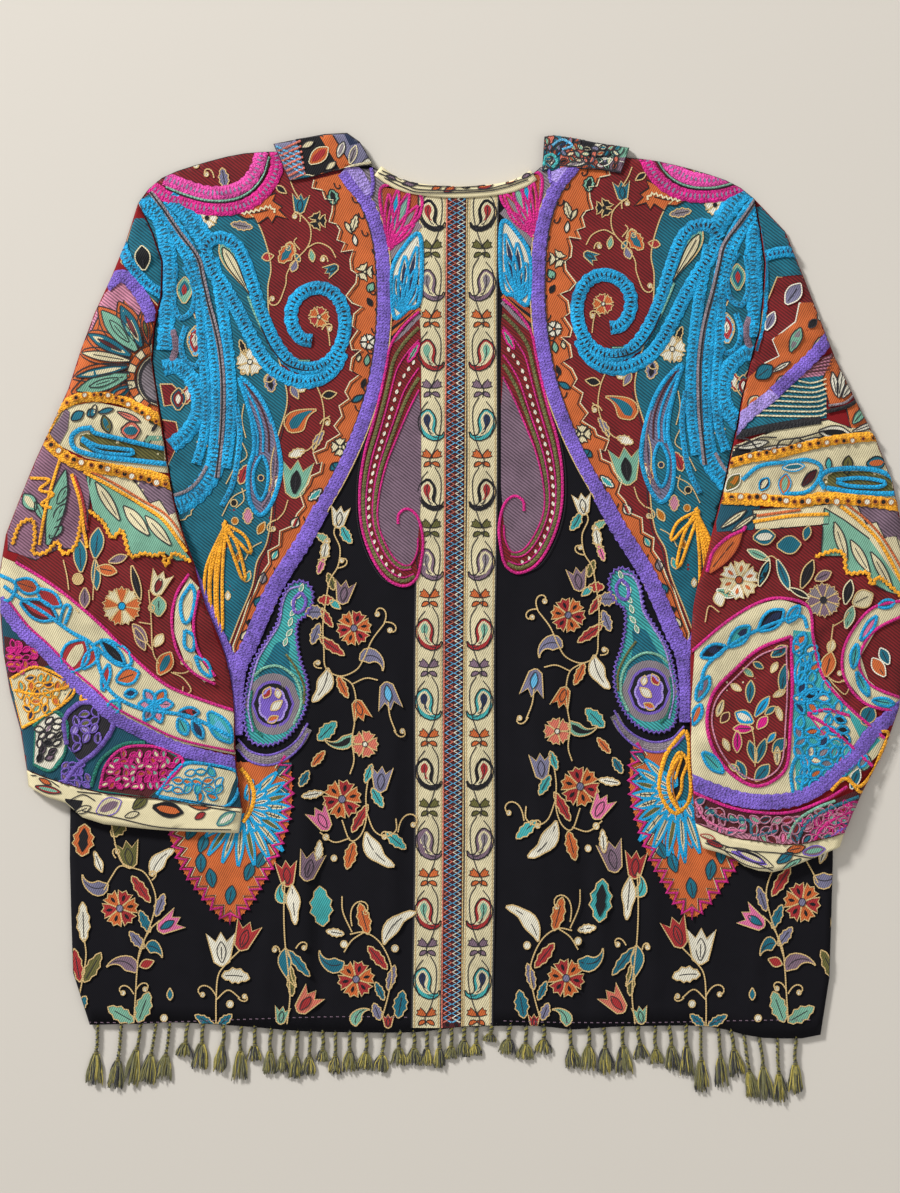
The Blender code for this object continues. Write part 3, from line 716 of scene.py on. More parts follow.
# Creases, in columns c from, r from, c to, r to, half width, rise
BODY_CREASES = (
    (302, 760, 306, 1012, 9, 0.9), (322, 850, 318, 1018, 7, -0.7), (394, 690, 391, 960, 9, 0.6),
    (409, 600, 407, 1000, 4, -0.5), (499, 600, 497, 1000, 4, -0.5), (531, 640, 541, 900, 9, 0.6),
    (602, 800, 600, 1014, 9, 0.9), (583, 850, 586, 1018, 7, -0.7), (651, 880, 656, 1018, 9, 0.8),
    (270, 905, 262, 1016, 9, 0.6), (762, 900, 752, 1014, 10, 0.7), (211, 930, 216, 1018, 8, -0.6),
    (120, 870, 140, 1004, 12, 0.6), (690, 905, 701, 1014, 8, -0.6), (236, 600, 292, 566, 8, 0.5),
    (226, 552, 292, 520, 7, 0.5), (690, 560, 640, 610, 8, 0.5), (330, 260, 356, 420, 12, 0.4),
    (590, 240, 566, 420, 12, 0.4), (158, 236, 196, 262, 5, 0.8), (160, 282, 198, 300, 5, -0.6),
    (166, 330, 204, 342, 5, 0.8), (168, 372, 208, 380, 5, -0.6), (172, 420, 212, 424, 5, 0.8),
    (176, 462, 214, 470, 6, -0.5), (752, 240, 716, 262, 5, 0.8), (752, 290, 712, 306, 5, -0.6),
    (744, 336, 706, 350, 5, 0.8), (736, 390, 700, 400, 5, -0.6), (730, 440, 694, 446, 5, 0.8),
    (146, 196, 214, 236, 6, 0.7), (760, 200, 700, 232, 6, 0.7), (436, 230, 430, 1010, 6, 0.25),
    (482, 230, 476, 1010, 6, 0.25), (457, 200, 452, 1024, 3, -0.35), (250, 480, 236, 600, 9, 0.5),
    (660, 470, 676, 590, 9, 0.5), (345, 560, 352, 700, 10, 0.4), (560, 560, 552, 720, 10, 0.4),
)
SLEEVE_CREASES = {
    "left": (
        (160, 250, 122, 262, 6, 0.9), (158, 290, 116, 296, 7, -0.8), (166, 334, 100, 330, 8, 0.9),
        (172, 396, 80, 372, 8, -0.6), (180, 440, 70, 420, 9, 1.0), (184, 486, 60, 470, 8, -0.9),
        (196, 556, 90, 500, 12, 1.1), (206, 590, 110, 556, 9, -0.9), (222, 640, 140, 596, 12, 1.0),
        (232, 700, 130, 650, 9, -0.8), (236, 742, 90, 700, 12, 0.9), (20, 560, 120, 640, 10, 0.7),
        (14, 640, 90, 720, 9, -0.7), (150, 640, 220, 690, 8, 0.6), (60, 600, 20, 480, 10, 0.6),
        (40, 720, 110, 780, 8, 0.6), (232, 784, 120, 800, 7, 0.5), (128, 540, 150, 620, 7, 0.6),
        (90, 560, 110, 650, 7, -0.6), (110, 330, 70, 400, 8, 0.5),
    ),
    "right": (
        (764, 240, 796, 250, 6, 0.9), (766, 290, 806, 296, 7, -0.8), (760, 340, 824, 330, 8, 0.9),
        (748, 396, 846, 372, 8, -0.6), (738, 440, 862, 424, 9, 1.0), (728, 486, 880, 476, 8, -0.9),
        (716, 540, 830, 520, 12, 1.1), (706, 590, 810, 566, 9, -0.9), (696, 640, 800, 600, 12, 1.0),
        (692, 700, 790, 660, 9, -0.8), (692, 742, 800, 730, 12, 0.9), (890, 560, 800, 640, 10, 0.7),
        (890, 640, 820, 740, 9, -0.7), (860, 600, 896, 500, 10, 0.6), (700, 800, 820, 820, 7, 0.5),
        (790, 600, 770, 690, 7, 0.6), (830, 600, 812, 690, 7, -0.6), (840, 720, 800, 790, 8, 0.6),
    ),
}


STRIP_TOP = 190.0          # where the strips begin under the neck
STRIP_RUN = 838.0          # and their length down to the hem
BORDER_REPEAT = 69.8
BORDER_DYES = (("black", "cream", "red"), ("mauve", "cream", "grey"), ("red", "cream", "seafoam"),
               ("aqua", "cream", "ink"))
BORDER_LEAVES = ("olive", "orange", "mauve", "orange")


def border_strip(work, top, foot, width, side):
    """A cream border strip with a climbing vine of paisleys; side is where their tails curl to."""
    def middle(r):
        return top + (foot - top) * (r - STRIP_TOP) / STRIP_RUN + 0.8 * math.sin(r / 60.0)

    line = [(middle(r), r) for r in range(184, 1031, 4)]
    work.band(line, width, "cream", "satin", 0.24, 0.0, 6)
    for share in (-0.5, 0.5):
        edge = [(c + share * width, r) for c, r in line]
        work.band(edge, 1.6, "soot", "thread", 0.5)
        inner = [(c + share * (width - 5), r) for c, r in line]
        work.band(inner, 0.7, "beige", "thread", 0.5)
    for k in range(12):
        r = 204 + BORDER_REPEAT * k
        c = middle(r) + 4 * side
        dyes = BORDER_DYES[k % 4]
        work.paisley(c - 0.5 * side, r - 4, -90 + 8 * side, 44, 18, dyes, -side, "black", 0.36)
        vine = [(middle(r - 14) - 3 * side, r - 16), (middle(r) - 9 * side, r - 4),
                (middle(r) - 8.5 * side, r + 16), (middle(r) - 3 * side, r + 36),
                (middle(r) + 2 * side, r + 46), (middle(r) + 1 * side, r + 54)]
        work.line(vine, "soot", 1.0)
        vine = [(middle(r) + 4 * side, r - 12), (middle(r) + 11 * side, r - 2),
                (middle(r) + 11.5 * side, r + 12), (middle(r) + 8 * side, r + 24)]
        work.line(vine, "soot", 1.0)
        leaf = BORDER_LEAVES[k % 4]
        c, r = middle(r + 49), r + 46
        for turn, bend in ((150, 70), (30, -70)):
            work.patch(c, r - 2, turn, FAN, 11, 8.5, leaf, "black", thick=0.9)
            work.blade(c, r + 4, turn + (20 if turn > 90 else -20), 9, 4.5, leaf, bend, "petal",
                       "black", thick=0.9)


def braid(work):
    """The middle braid: a dark band under crossing threads in three colours."""
    def middle(r):
        return 457.0 - 5.2 * (r - STRIP_TOP) / STRIP_RUN

    line = [(middle(r), r) for r in range(188, 1031, 4)]
    work.band(line, 19, "wine", "satin", 0.3, 0.35, 4)
    pitch = 4.6
    for k, (offset, phase, dye) in enumerate(((-4.4, 0, "sky"), (-4.4, 1, "salmon"),
                                              (4.4, 0, "pale"), (4.4, 1, "sky"))):
        zigzag = []
        for n in range(int(STRIP_RUN / pitch)):
            r = STRIP_TOP + n * pitch
            zigzag.append((middle(r) + offset + (3.9 if (n + phase) % 2 else -3.9), r))
        work.band(zigzag, 1.7, dye, "narrow_chain", 0.75 + 0.05 * k, 0.35, 2)
    for n in range(1, int(STRIP_RUN / pitch), 2):
        r = STRIP_TOP + (n + 0.5) * pitch
        for offset in (-4.4, 4.4):
            work.blade(middle(r) + offset - 2, r, 0, 4, 3.4, "black", 0, "disc", None, lift=0.74)
    for offset in (-10, 10):
        edge = [(c + offset, r) for c, r in line]
        work.band(edge, 1.4, "salmon" if offset < 0 else "beige", "narrow_chain", 0.6, 0.2, 2)


PURPLE_ARM = (
    (344, 172), (352, 184), (364, 198), (374, 219), (381, 246), (384, 281), (384, 315), (381, 350),
    (374, 388), (364, 420), (352, 450), (338, 479), (321, 509), (305, 539), (289, 564), (275, 587),
    (263, 613), (250, 644), (239, 668), (235, 700), (235, 735),
)

# The serrated orange border's outer edge, from the shoulder down
SERRATED = (
    (314, 180), (312, 188), (322, 190), (325, 199), (333, 200), (332, 212), (329, 222), (336, 224),
    (340, 230), (337, 240), (345, 243), (341, 252), (353, 250), (350, 260), (351, 270), (357, 274),
    (356, 283), (346, 296), (352, 303), (362, 307), (354, 314), (352, 326), (358, 330), (350, 342),
    (352, 350), (361, 350), (352, 358), (350, 370), (359, 375), (350, 382), (345, 392), (349, 399),
    (339, 406), (342, 416), (334, 426), (340, 434), (327, 442), (325, 448), (313, 453), (317, 464),
    (322, 462), (320, 472), (311, 476), (308, 484), (300, 494), (304, 506), (297, 514), (292, 526),
    (280, 531), (279, 545), (268, 551), (269, 563), (261, 575), (256, 589), (248, 604), (242, 622),
    (233, 646), (236, 668),
)

TEAL_EDGE = (
    (228, 204), (240, 207), (257, 222), (267, 247), (271, 269), (268, 290), (271, 330), (284, 378),
    (287, 404), (278, 436), (271, 464), (272, 506), (267, 542), (257, 562), (252, 587), (239, 619),
    (229, 645),
)
CRIMSON_FIELD = (
    (146, 192), (180, 160), (230, 152), (290, 146), (340, 165), (372, 219), (383, 281), (382, 345),
    (372, 388), (351, 448), (320, 509), (275, 587), (250, 640), (236, 668), (226, 652), (204, 606),
    (176, 548), (162, 500), (150, 420), (142, 320), (138, 240),
)

# Stems on the crimson and teal grounds, each a line of places
FIELD_STEMS = (
    ((290, 180), (294, 190), (300, 200)),
    ((300, 214), (309, 224), (311, 236), (307, 248), (294, 262), (287, 274), (286, 284), (282, 296)),
    ((307, 248), (318, 243), (330, 248), (336, 258)),
    ((300, 250), (294, 242), (297, 238)),
    ((316, 384), (322, 400), (324, 420), (318, 440), (313, 452)),
    ((324, 420), (330, 416)),
    ((318, 440), (308, 450), (300, 452)),
    ((330, 346), (329, 336), (327, 326)),
    ((288, 500), (284, 512), (277, 520)),
)

# Motifs beside the purple arm, in columns kind, c, r, angle, length, width or None, dye, and where
# they aren't 0 and None also bend and heart. A flower's length is its radius, and its width counts
# its petals; a curl's width is the side that it turns to.
FIELD_MOTIFS = (
    ("tulip", 299, 214, 84, 20, None, "teal"), ("leaf", 276, 186, -35, 13, 6, "black"),
    ("flower", 318, 221, 0, 8, 3, "black", 0, "black"),
    ("leaf", 279, 262, 35, 24, 15, "orange", 50, "teal"), ("leaf", 292, 272, 70, 13, 8, "dusk"),
    ("leaf", 300, 262, 120, 10, 5, "teal"), ("leaf", 313, 262, 100, 13, 6, "seafoam"),
    ("tulip", 338, 266, 210, 15, None, "teal"), ("leaf", 262, 258, 10, 12, 8, "red"),
    ("flower", 319, 317, 0, 10, 5, "orange", 0, "pale"), ("leaf", 300, 392, 60, 16, 12, "pale", 60, None),
    ("leaf", 322, 396, 10, 15, 8, "black"), ("drop", 290, 432, 70, 36, 22, "orange", -60, "teal"),
    ("leaf", 291, 386, -60, 15, 7, "dusk"), ("leaf", 313, 450, 70, 22, 7, "dusk", -20, None),
    ("leaf", 289, 456, 20, 17, 9, "pale"), ("tulip", 294, 498, 84, 38, None, "seafoam", 0, "black"),
    ("leaf", 336, 352, 20, 11, 8, "aqua"), ("leaf", 338, 366, 160, 12, 8, "cream"),
    ("leaf", 270, 492, 60, 18, 10, "red", 0, "pale"),
)

# On the orange border
BORDER_MOTIFS = (
    ("leaf", 333, 205, 80, 16, 12, "seafoam", 40, "black"), ("leaf", 345, 222, -60, 14, 5, "cream"),
    ("leaf", 352, 232, 75, 18, 8, "cream"), ("leaf", 356, 246, 100, 12, 5, "pale"),
    ("flower", 365, 272, 0, 8, 3, "cream", 0, "cream"), ("leaf", 368, 292, 60, 11, 8, "seafoam"),
    ("leaf", 372, 306, 120, 9, 5, "black"), ("flower", 368, 342, 0, 8, 5, "pale", 0, "orange"),
    ("leaf", 366, 366, 80, 12, 6, "seafoam"), ("leaf", 358, 362, 80, 9, 5, "cream"),
    ("leaf", 352, 402, 30, 14, 6, "teal"), ("flower", 340, 447, 0, 9, 4, "cream", 0, "cream"),
    ("leaf", 362, 388, 70, 10, 4, "black"), ("leaf", 330, 470, 40, 12, 7, "teal"),
    ("leaf", 308, 500, 30, 18, 9, "pale", 20, "aqua"), ("leaf", 292, 528, 60, 13, 9, "pale", 0, "red"),
    ("leaf", 296, 540, 20, 9, 4, "black"), ("leaf", 272, 560, 60, 12, 7, "cream", 0, "aqua"),
    ("leaf", 262, 584, 80, 12, 8, "grey"), ("leaf", 255, 606, 60, 11, 7, "teal"),
    ("berry", 250, 622, 0, 5, None, "black"), ("leaf", 241, 640, 60, 12, 5, "cream"),
)

# On the teal ground
TEAL_MOTIFS = (
    ("flower", 207, 218, 0, 10, 5, "pale", 0, "black"), ("leaf", 231, 224, -10, 22, 9, "grey"),
    ("flower", 250, 362, 18, 13, 5, "pale", 0, "pale"), ("leaf", 240, 340, -70, 16, 6, "black"),
    ("leaf", 272, 392, 100, 18, 12, "dusk", 0, "black"), ("leaf", 196, 300, -85, 20, 9, "wine"),
    ("leaf", 192, 352, 70, 24, 14, "red", 30, "pale"), ("leaf", 204, 384, 90, 14, 6, "black"),
    ("leaf", 202, 452, 90, 16, 10, "rose"), ("leaf", 240, 484, 70, 20, 11, "red"),
    ("berry", 234, 503, 0, 7, None, "black"), ("leaf", 248, 524, 90, 16, 10, "rose"),
    ("berry", 235, 521, 0, 7, None, "amber"), ("leaf", 258, 534, 60, 14, 7, "amber"),
    ("leaf", 238, 562, 90, 9, 5, "amber"), ("leaf", 228, 600, 90, 9, 5, "pale"),
    ("leaf", 183, 404, 60, 20, 13, "red", 20, "pale"), ("berry", 243, 372, 0, 5, None, "orange"),
    ("leaf", 264, 380, 20, 12, 8, "amber"), ("leaf", 246, 582, 70, 12, 6, "aqua"),
    ("leaf", 180, 520, 60, 26, 14, "teal", 10, "deep teal"), ("berry", 226, 538, 0, 5, None, "pale"),
)

SPIRAL = (
    (312, 341), (302, 339), (294, 329), (291, 315), (295, 301), (306, 291), (321, 288), (335, 295),
    (343, 309), (345, 328), (340, 347), (330, 361), (316, 368), (300, 367), (286, 358), (273, 339),
    (262, 314), (253, 286), (245, 262), (236, 246), (223, 238), (210, 241), (203, 252),
)
SPIRAL_OUTER = (
    (205, 252), (212, 270), (223, 285), (236, 307), (248, 331), (260, 353), (272, 368), (288, 378),
    (305, 382), (322, 378), (335, 367), (342, 352),
)
SPIRAL_BETWEEN = ((262, 326), (271, 345), (284, 361), (298, 368), (314, 369), (330, 362), (340, 350))
SPIRAL_CORE_TAIL = ((248, 296), (256, 316), (266, 336), (280, 352), (294, 360), (310, 361))

SHOULDER_BAND = (
    (150, 186), (166, 196), (190, 205), (212, 209), (236, 208), (256, 199), (270, 184), (277, 166),
    (276, 146),
)
SHOULDER_BAND_INNER = (
    (165, 178), (184, 186), (208, 193), (232, 191), (248, 182), (258, 166), (262, 148),
)

# Bands of the blue run, in columns places, width
BLUE_RUNS = (
    (((124, 228), (133, 213), (149, 206), (160, 219), (166, 239), (168.6, 262), (168.6, 285), (167.4, 308),
        (166, 331), (165, 350)), 17),
    (((140, 206), (158, 218), (174, 236), (186, 256), (195, 280), (200, 310), (202, 344), (205, 380),
        (206, 410), (203, 440), (196, 464)), 10),
    (((150, 200), (170, 218), (184, 238), (194, 258), (202, 284), (208, 316), (213, 350), (216, 384),
        (216, 420), (212, 464)), 11),
    (((170, 196), (184, 210), (198, 229), (210, 248)), 19),
    (((176, 268), (173, 286), (174, 306), (181, 318), (191, 312), (195, 296), (191, 278), (184, 266)), 6),
    (((186, 326), (181, 344), (185, 360), (196, 366), (204, 352), (204, 334)), 6),
    (((236, 404), (240, 430), (238, 458), (232, 486), (222, 506)), 6),
    (((164, 508), (184, 502), (200, 490), (213, 470), (220, 444)), 20),
    (((213, 258), (220, 294), (225, 327), (229, 361), (231, 396), (230, 430), (225, 468)), 12),
    (((163, 368), (177, 366), (190, 377), (198.4, 395), (197.4, 416), (186, 434), (171, 446)), 16),
)
BLUE_LOOP = (
    (240, 378), (256, 392), (268, 412), (277, 440), (281, 466), (278, 486), (270, 506), (260, 515),
    (251, 504), (248, 486), (249, 468), (254, 450), (253, 428), (247, 402),
)
SEAM = (
    (151, 192), (165, 211), (180, 233), (198, 258), (203, 278), (209, 304), (215, 326), (220, 350),
    (223, 384), (222, 430), (217, 478),
)

LEAF_BESIDE_STRIP = ((420, 236), (402, 250), (392, 270), (391, 296), (395, 318), (408, 309), (420, 299))
FAN_BESIDE_STRIP = ((382, 187), (418, 193), (420, 214), (404, 232), (388, 250), (384, 226))

MAGENTA_OUTER = (
    (419, 312), (404, 326), (391, 345), (386, 368), (380, 396), (373, 424), (365, 452), (360, 486),
    (361, 522), (370, 553), (385, 577), (403, 586), (416, 579), (421, 562), (423, 540), (418, 518),
    (408, 509), (399, 514), (398, 524),
)
MAGENTA_INNER = (
    (419, 390), (408, 412), (396, 440), (386, 466), (379, 496), (378, 522), (386, 545), (398, 562),
    (410, 565), (417, 552), (418, 538),
)

# The curling feather of purple, teal and grey under the arms
FEATHER = (
    (302, 582), (290, 586), (283, 600), (279, 622), (268, 640), (256, 660), (249, 684), (245, 712),
    (250, 738), (266, 744), (284, 738), (298, 722), (306, 702), (306, 680), (300, 662), (296, 640),
    (297, 622), (306, 614), (312, 600), (310, 588),
)
FEATHER_HOOK = ((238, 744), (250, 756), (268, 760), (286, 754), (300, 742), (308, 728))

LOBE = (
    (214, 764), (248, 762), (284, 756), (291, 772), (292, 800), (288, 824), (280, 848), (272, 868),
    (260, 888), (248, 908), (230, 922), (212, 908), (196, 888), (182, 868), (174, 846), (170, 828),
    (188, 790),
)
LOBE_DOTS = (
    (281, 791, 60), (276, 812, 70), (260, 860, 60), (249, 873, 70), (232, 897, 80), (216, 880, 100),
    (204, 865, 90), (203, 845, 70), (190, 832, 60), (280, 768, 40), (270, 836, 50),
)

EYE = (273, 705)             # middle of the feather's eye
STAR = (243, 806)            # where the lobe's rays meet
YELLOW_ROOT = (226, 525)     # where the yellow loops under the arm begin

# The yellow leaf that only the right lobe has, its heart, and the tips of the rays beside it
YELLOW_LEAF = ((685, 731), (689, 744), (689, 762), (691, 786), (688, 802), (677, 813), (667, 807),
               (659, 789), (661, 771), (666, 754), (676, 740))
YELLOW_LEAF_HEART = ((680, 752), (687, 762), (682, 777), (681, 790), (674, 801), (669, 792), (669, 776),
                     (673, 761))
RIGHT_RAYS = ((648, 825), (655, 838), (665, 850), (676, 866), (685, 863), (692, 848))
RIGHT_RAYS_ROOT = (676, 806)

# Stems and motifs on the black ground, left half; the right half is its mirror
VINES = (
    ((340, 520), (334, 532), (340, 548), (338, 566), (330, 580), (326, 600), (323, 624), (324, 650),
        (326, 668), (340, 676), (356, 670), (364, 658), (372, 640), (384, 624)),
    ((340, 676), (352, 684), (356, 700), (355, 720), (352, 740), (354, 760), (350, 774)),
    ((352, 684), (366, 678), (378, 680)),
    ((388, 700), (390, 716), (396, 732)),
    ((342, 820), (350, 840), (360, 836), (366, 820), (366, 796), (368, 780)),
    ((320, 832), (334, 842), (350, 838)),
    ((366, 810), (374, 830), (386, 836), (396, 830), (396, 818)),
    ((350, 934), (364, 932), (378, 940), (388, 956), (392, 974), (388, 996), (382, 1018)),
    ((364, 932), (352, 940), (344, 952)),
    ((352, 932), (343, 912), (342, 896)),
    ((285, 880), (284, 910), (285, 940), (288, 968), (290, 996), (287, 1024)),
    ((216, 1026), (216, 1000), (218, 976), (226, 964), (240, 950)),
    ((216, 1000), (228, 990), (240, 998)),
    ((134, 1020), (136, 990), (137, 974), (140, 950), (150, 930), (160, 920)),
    ((134, 868), (144, 872), (152, 884), (156, 900), (152, 920), (146, 936), (138, 960)),
    ((134, 868), (120, 866), (112, 876), (104, 890)),
    ((112, 826), (116, 846), (122, 862), (134, 868)),
    ((84, 938), (86, 956), (82, 982), (78, 1000)),
    ((318, 560), (330, 556)),
    ((330, 640), (318, 634)),
)

VINE_MOTIFS = (
    ("tulip", 338, 528, 82, 22, None, "pale"), ("leaf", 330, 542, 150, 16, 8, "seafoam"),
    ("leaf", 323, 562, 80, 24, 9, "pale"), ("leaf", 342, 526, -75, 20, 10, "aqua", 30, None),
    ("leaf", 318, 574, 70, 18, 7, "pink"), ("curl", 338, 568, 10, 20, 1, None),
    ("tulip", 342, 604, 80, 24, None, "mauve"), ("leaf", 334, 590, 110, 18, 8, "olive"),
    ("leaf", 318, 600, 0, 16, 10, "red"), ("leaf", 330, 600, -40, 14, 7, "aqua"),
    ("leaf", 306, 612, 0, 18, 14, "dusk"), ("leaf", 312, 644, 70, 22, 10, "dusk"),
    ("leaf", 322, 608, -70, 22, 8, "red", 20, None), ("flower", 354, 628, 10, 17, 6, "orange", 0, "dusk"),
    ("curl", 384, 624, 70, 28, 1, None), ("curl", 384, 622, 0, 24, -1, None),
    ("leaf", 320, 638, -35, 30, 10, "red"), ("claw", 360, 660, 50, 34, 15, "dusk", -150, None),
    ("pod", 328, 668, -90, 38, 16, "pale", -50, None), ("leaf", 338, 676, -70, 24, 9, "orange", 10, None),
    ("curl", 322, 668, 180, 16, -1, None), ("tulip", 386, 682, -80, 28, None, "dusk", 0, "sky"),
    ("tulip", 356, 700, -70, 22, None, "orange"), ("curl", 394, 730, -60, 20, 1, None),
    ("leaf", 318, 740, 45, 26, 14, "aqua"), ("claw", 352, 734, -110, 34, 13, "seafoam", -120, "black"),
    ("flower", 365, 744, 0, 13, 5, "salmon", 0, "pale"), ("tulip", 380, 792, 85, 26, None, "dusk"),
    ("leaf", 312, 766, 50, 20, 8, "orange"), ("leaf", 372, 764, -110, 20, 8, "aqua"),
    ("flower", 342, 799, 15, 19, 6, "orange", 0, "dusk"), ("tulip", 328, 830, 120, 26, None, "pink"),
    ("leaf", 352, 832, 60, 32, 10, "red"), ("leaf", 372, 788, -60, 22, 10, "aqua"),
    ("curl", 398, 832, 80, 40, -1, None), ("curl", 392, 836, 130, 18, 1, None),
    ("leaf", 386, 832, -40, 26, 11, "aqua"), ("pod", 366, 832, -80, 46, 17, "pale", 60, None),
    ("leaf", 354, 842, -105, 28, 12, "orange"), ("leaf", 302, 796, 10, 22, 8, "pale"),
    ("berry", 326, 837, 0, 6, None, "pale"), ("berry", 334, 858, 0, 6, None, "pale"),
    ("leaf", 300, 786, 60, 18, 9, "teal"), ("leaf", 318, 862, 85, 22, 8, "pale"),
    ("tulip", 306, 880, 75, 30, None, "mauve"), ("tulip", 288, 886, 95, 26, None, "red"),
    ("pod", 292, 884, -85, 40, 14, "pale"), ("claw", 286, 902, 150, 24, 11, "aqua", -110, None),
    ("leaf", 323, 926, 95, 40, 22, "aqua", 0, "black"), ("curl", 280, 952, 100, 14, 1, None),
    ("curl", 296, 948, 60, 20, -1, None), ("claw", 286, 948, -105, 42, 13, "teal", 60, None),
    ("leaf", 288, 950, -50, 34, 10, "teal"), ("leaf", 292, 996, 92, 30, 9, "olive"),
    ("tulip", 298, 1012, 50, 28, None, "salmon", 0, "red"), ("tulip", 280, 1024, 80, 18, None, "seafoam"),
    ("curl", 352, 926, 100, 46, -1, None), ("leaf", 368, 934, 105, 32, 13, "orange"),
    ("pod", 384, 944, 80, 48, 15, "pale", -70, None), ("leaf", 344, 934, 170, 18, 8, "pale"),
    ("berry", 344, 944, 0, 7, None, "pale"), ("berry", 395, 948, 0, 7, None, "pale"),
    ("claw", 344, 962, 220, 34, 15, "teal", -130, None), ("leaf", 368, 946, -50, 30, 11, "red"),
    ("flower", 356, 979, 12, 18, 6, "orange", 0, "dusk"), ("leaf", 388, 990, 75, 26, 9, "dusk"),
    ("leaf", 384, 1000, 115, 20, 8, "teal"), ("leaf", 398, 1018, 80, 28, 14, "teal"),
    ("leaf", 380, 1020, 110, 18, 10, "dusk"), ("tulip", 388, 1028, 90, 14, None, "red"),
    ("claw", 356, 1026, 110, 26, 12, "seafoam", -120, None), ("tulip", 240, 950, 70, 30, None, "red"),
    ("tulip", 222, 966, 92, 34, None, "pale"), ("leaf", 222, 976, 10, 28, 15, "pale", -30, None),
    ("curl", 216, 996, 120, 32, 1, None), ("curl", 238, 998, -40, 16, 1, None),
    ("berry", 230, 1004, 0, 7, None, "pale"), ("leaf", 214, 1026, 150, 22, 9, "teal"),
    ("leaf", 218, 1026, 40, 18, 9, "teal"), ("leaf", 82, 856, 85, 32, 21, "orange", 0, "black"),
    ("tulip", 131, 868, 100, 28, None, "olive"), ("leaf", 112, 836, 50, 22, 14, "olive"),
    ("pod", 152, 876, 80, 36, 15, "pale", -60, None), ("curl", 116, 858, 130, 16, -1, None),
    ("curl", 152, 880, 40, 16, 1, None), ("pod", 102, 872, 110, 22, 8, "pale"),
    ("claw", 108, 884, 225, 34, 15, "dusk", -130, None),
    ("flower", 120, 908, 10, 18, 6, "orange", 0, "dusk"), ("leaf", 132, 876, -55, 32, 11, "red"),
    ("leaf", 156, 916, 70, 24, 10, "dusk"), ("leaf", 150, 932, 115, 24, 10, "teal"),
    ("tulip", 158, 930, 30, 26, None, "pink", 0, "teal"), ("leaf", 144, 948, 130, 22, 10, "dusk"),
    ("claw", 146, 946, 10, 22, 13, "teal", -90, None), ("leaf", 140, 966, 20, 15, 9, "red"),
    ("claw", 136, 972, 110, 36, 15, "mauve", 120, None), ("curl", 134, 994, 120, 26, 1, None),
    ("curl", 136, 990, 60, 22, -1, None), ("leaf", 134, 1022, 150, 30, 15, "seafoam"),
    ("leaf", 138, 1022, 70, 32, 16, "seafoam"), ("leaf", 84, 942, 92, 40, 13, "pale"),
    ("leaf", 80, 982, 100, 34, 11, "red"), ("leaf", 84, 982, 60, 34, 13, "olive"),
    ("leaf", 78, 1010, 60, 16, 10, "teal"), ("berry", 164, 1018, 0, 7, None, "pale"),
    ("leaf", 170, 1000, 90, 12, 6, "teal"),
)


def set_motifs(work, table, edge="beige"):
    """Put a table of motifs on a work."""
    for kind, c, r, angle, length, width, dye, *last in table:
        bend, heart = last or (0, None)
        if kind == "tulip":
            work.tulip(c, r, angle, length, dye, edge, heart)
        elif kind == "flower":
            work.flower(c, r, length, width, dye, heart or "dusk", edge, turn=angle,
                        second="red" if dye == "orange" else None,
                        stamen=None if width < 6 else "black")
        elif kind == "berry":
            work.berry(c, r, length, dye, edge)
        elif kind == "curl":
            work.curl(c, r, angle, length, width)
        else:
            work.blade(c, r, angle, length, width, dye, bend, kind, edge, heart)


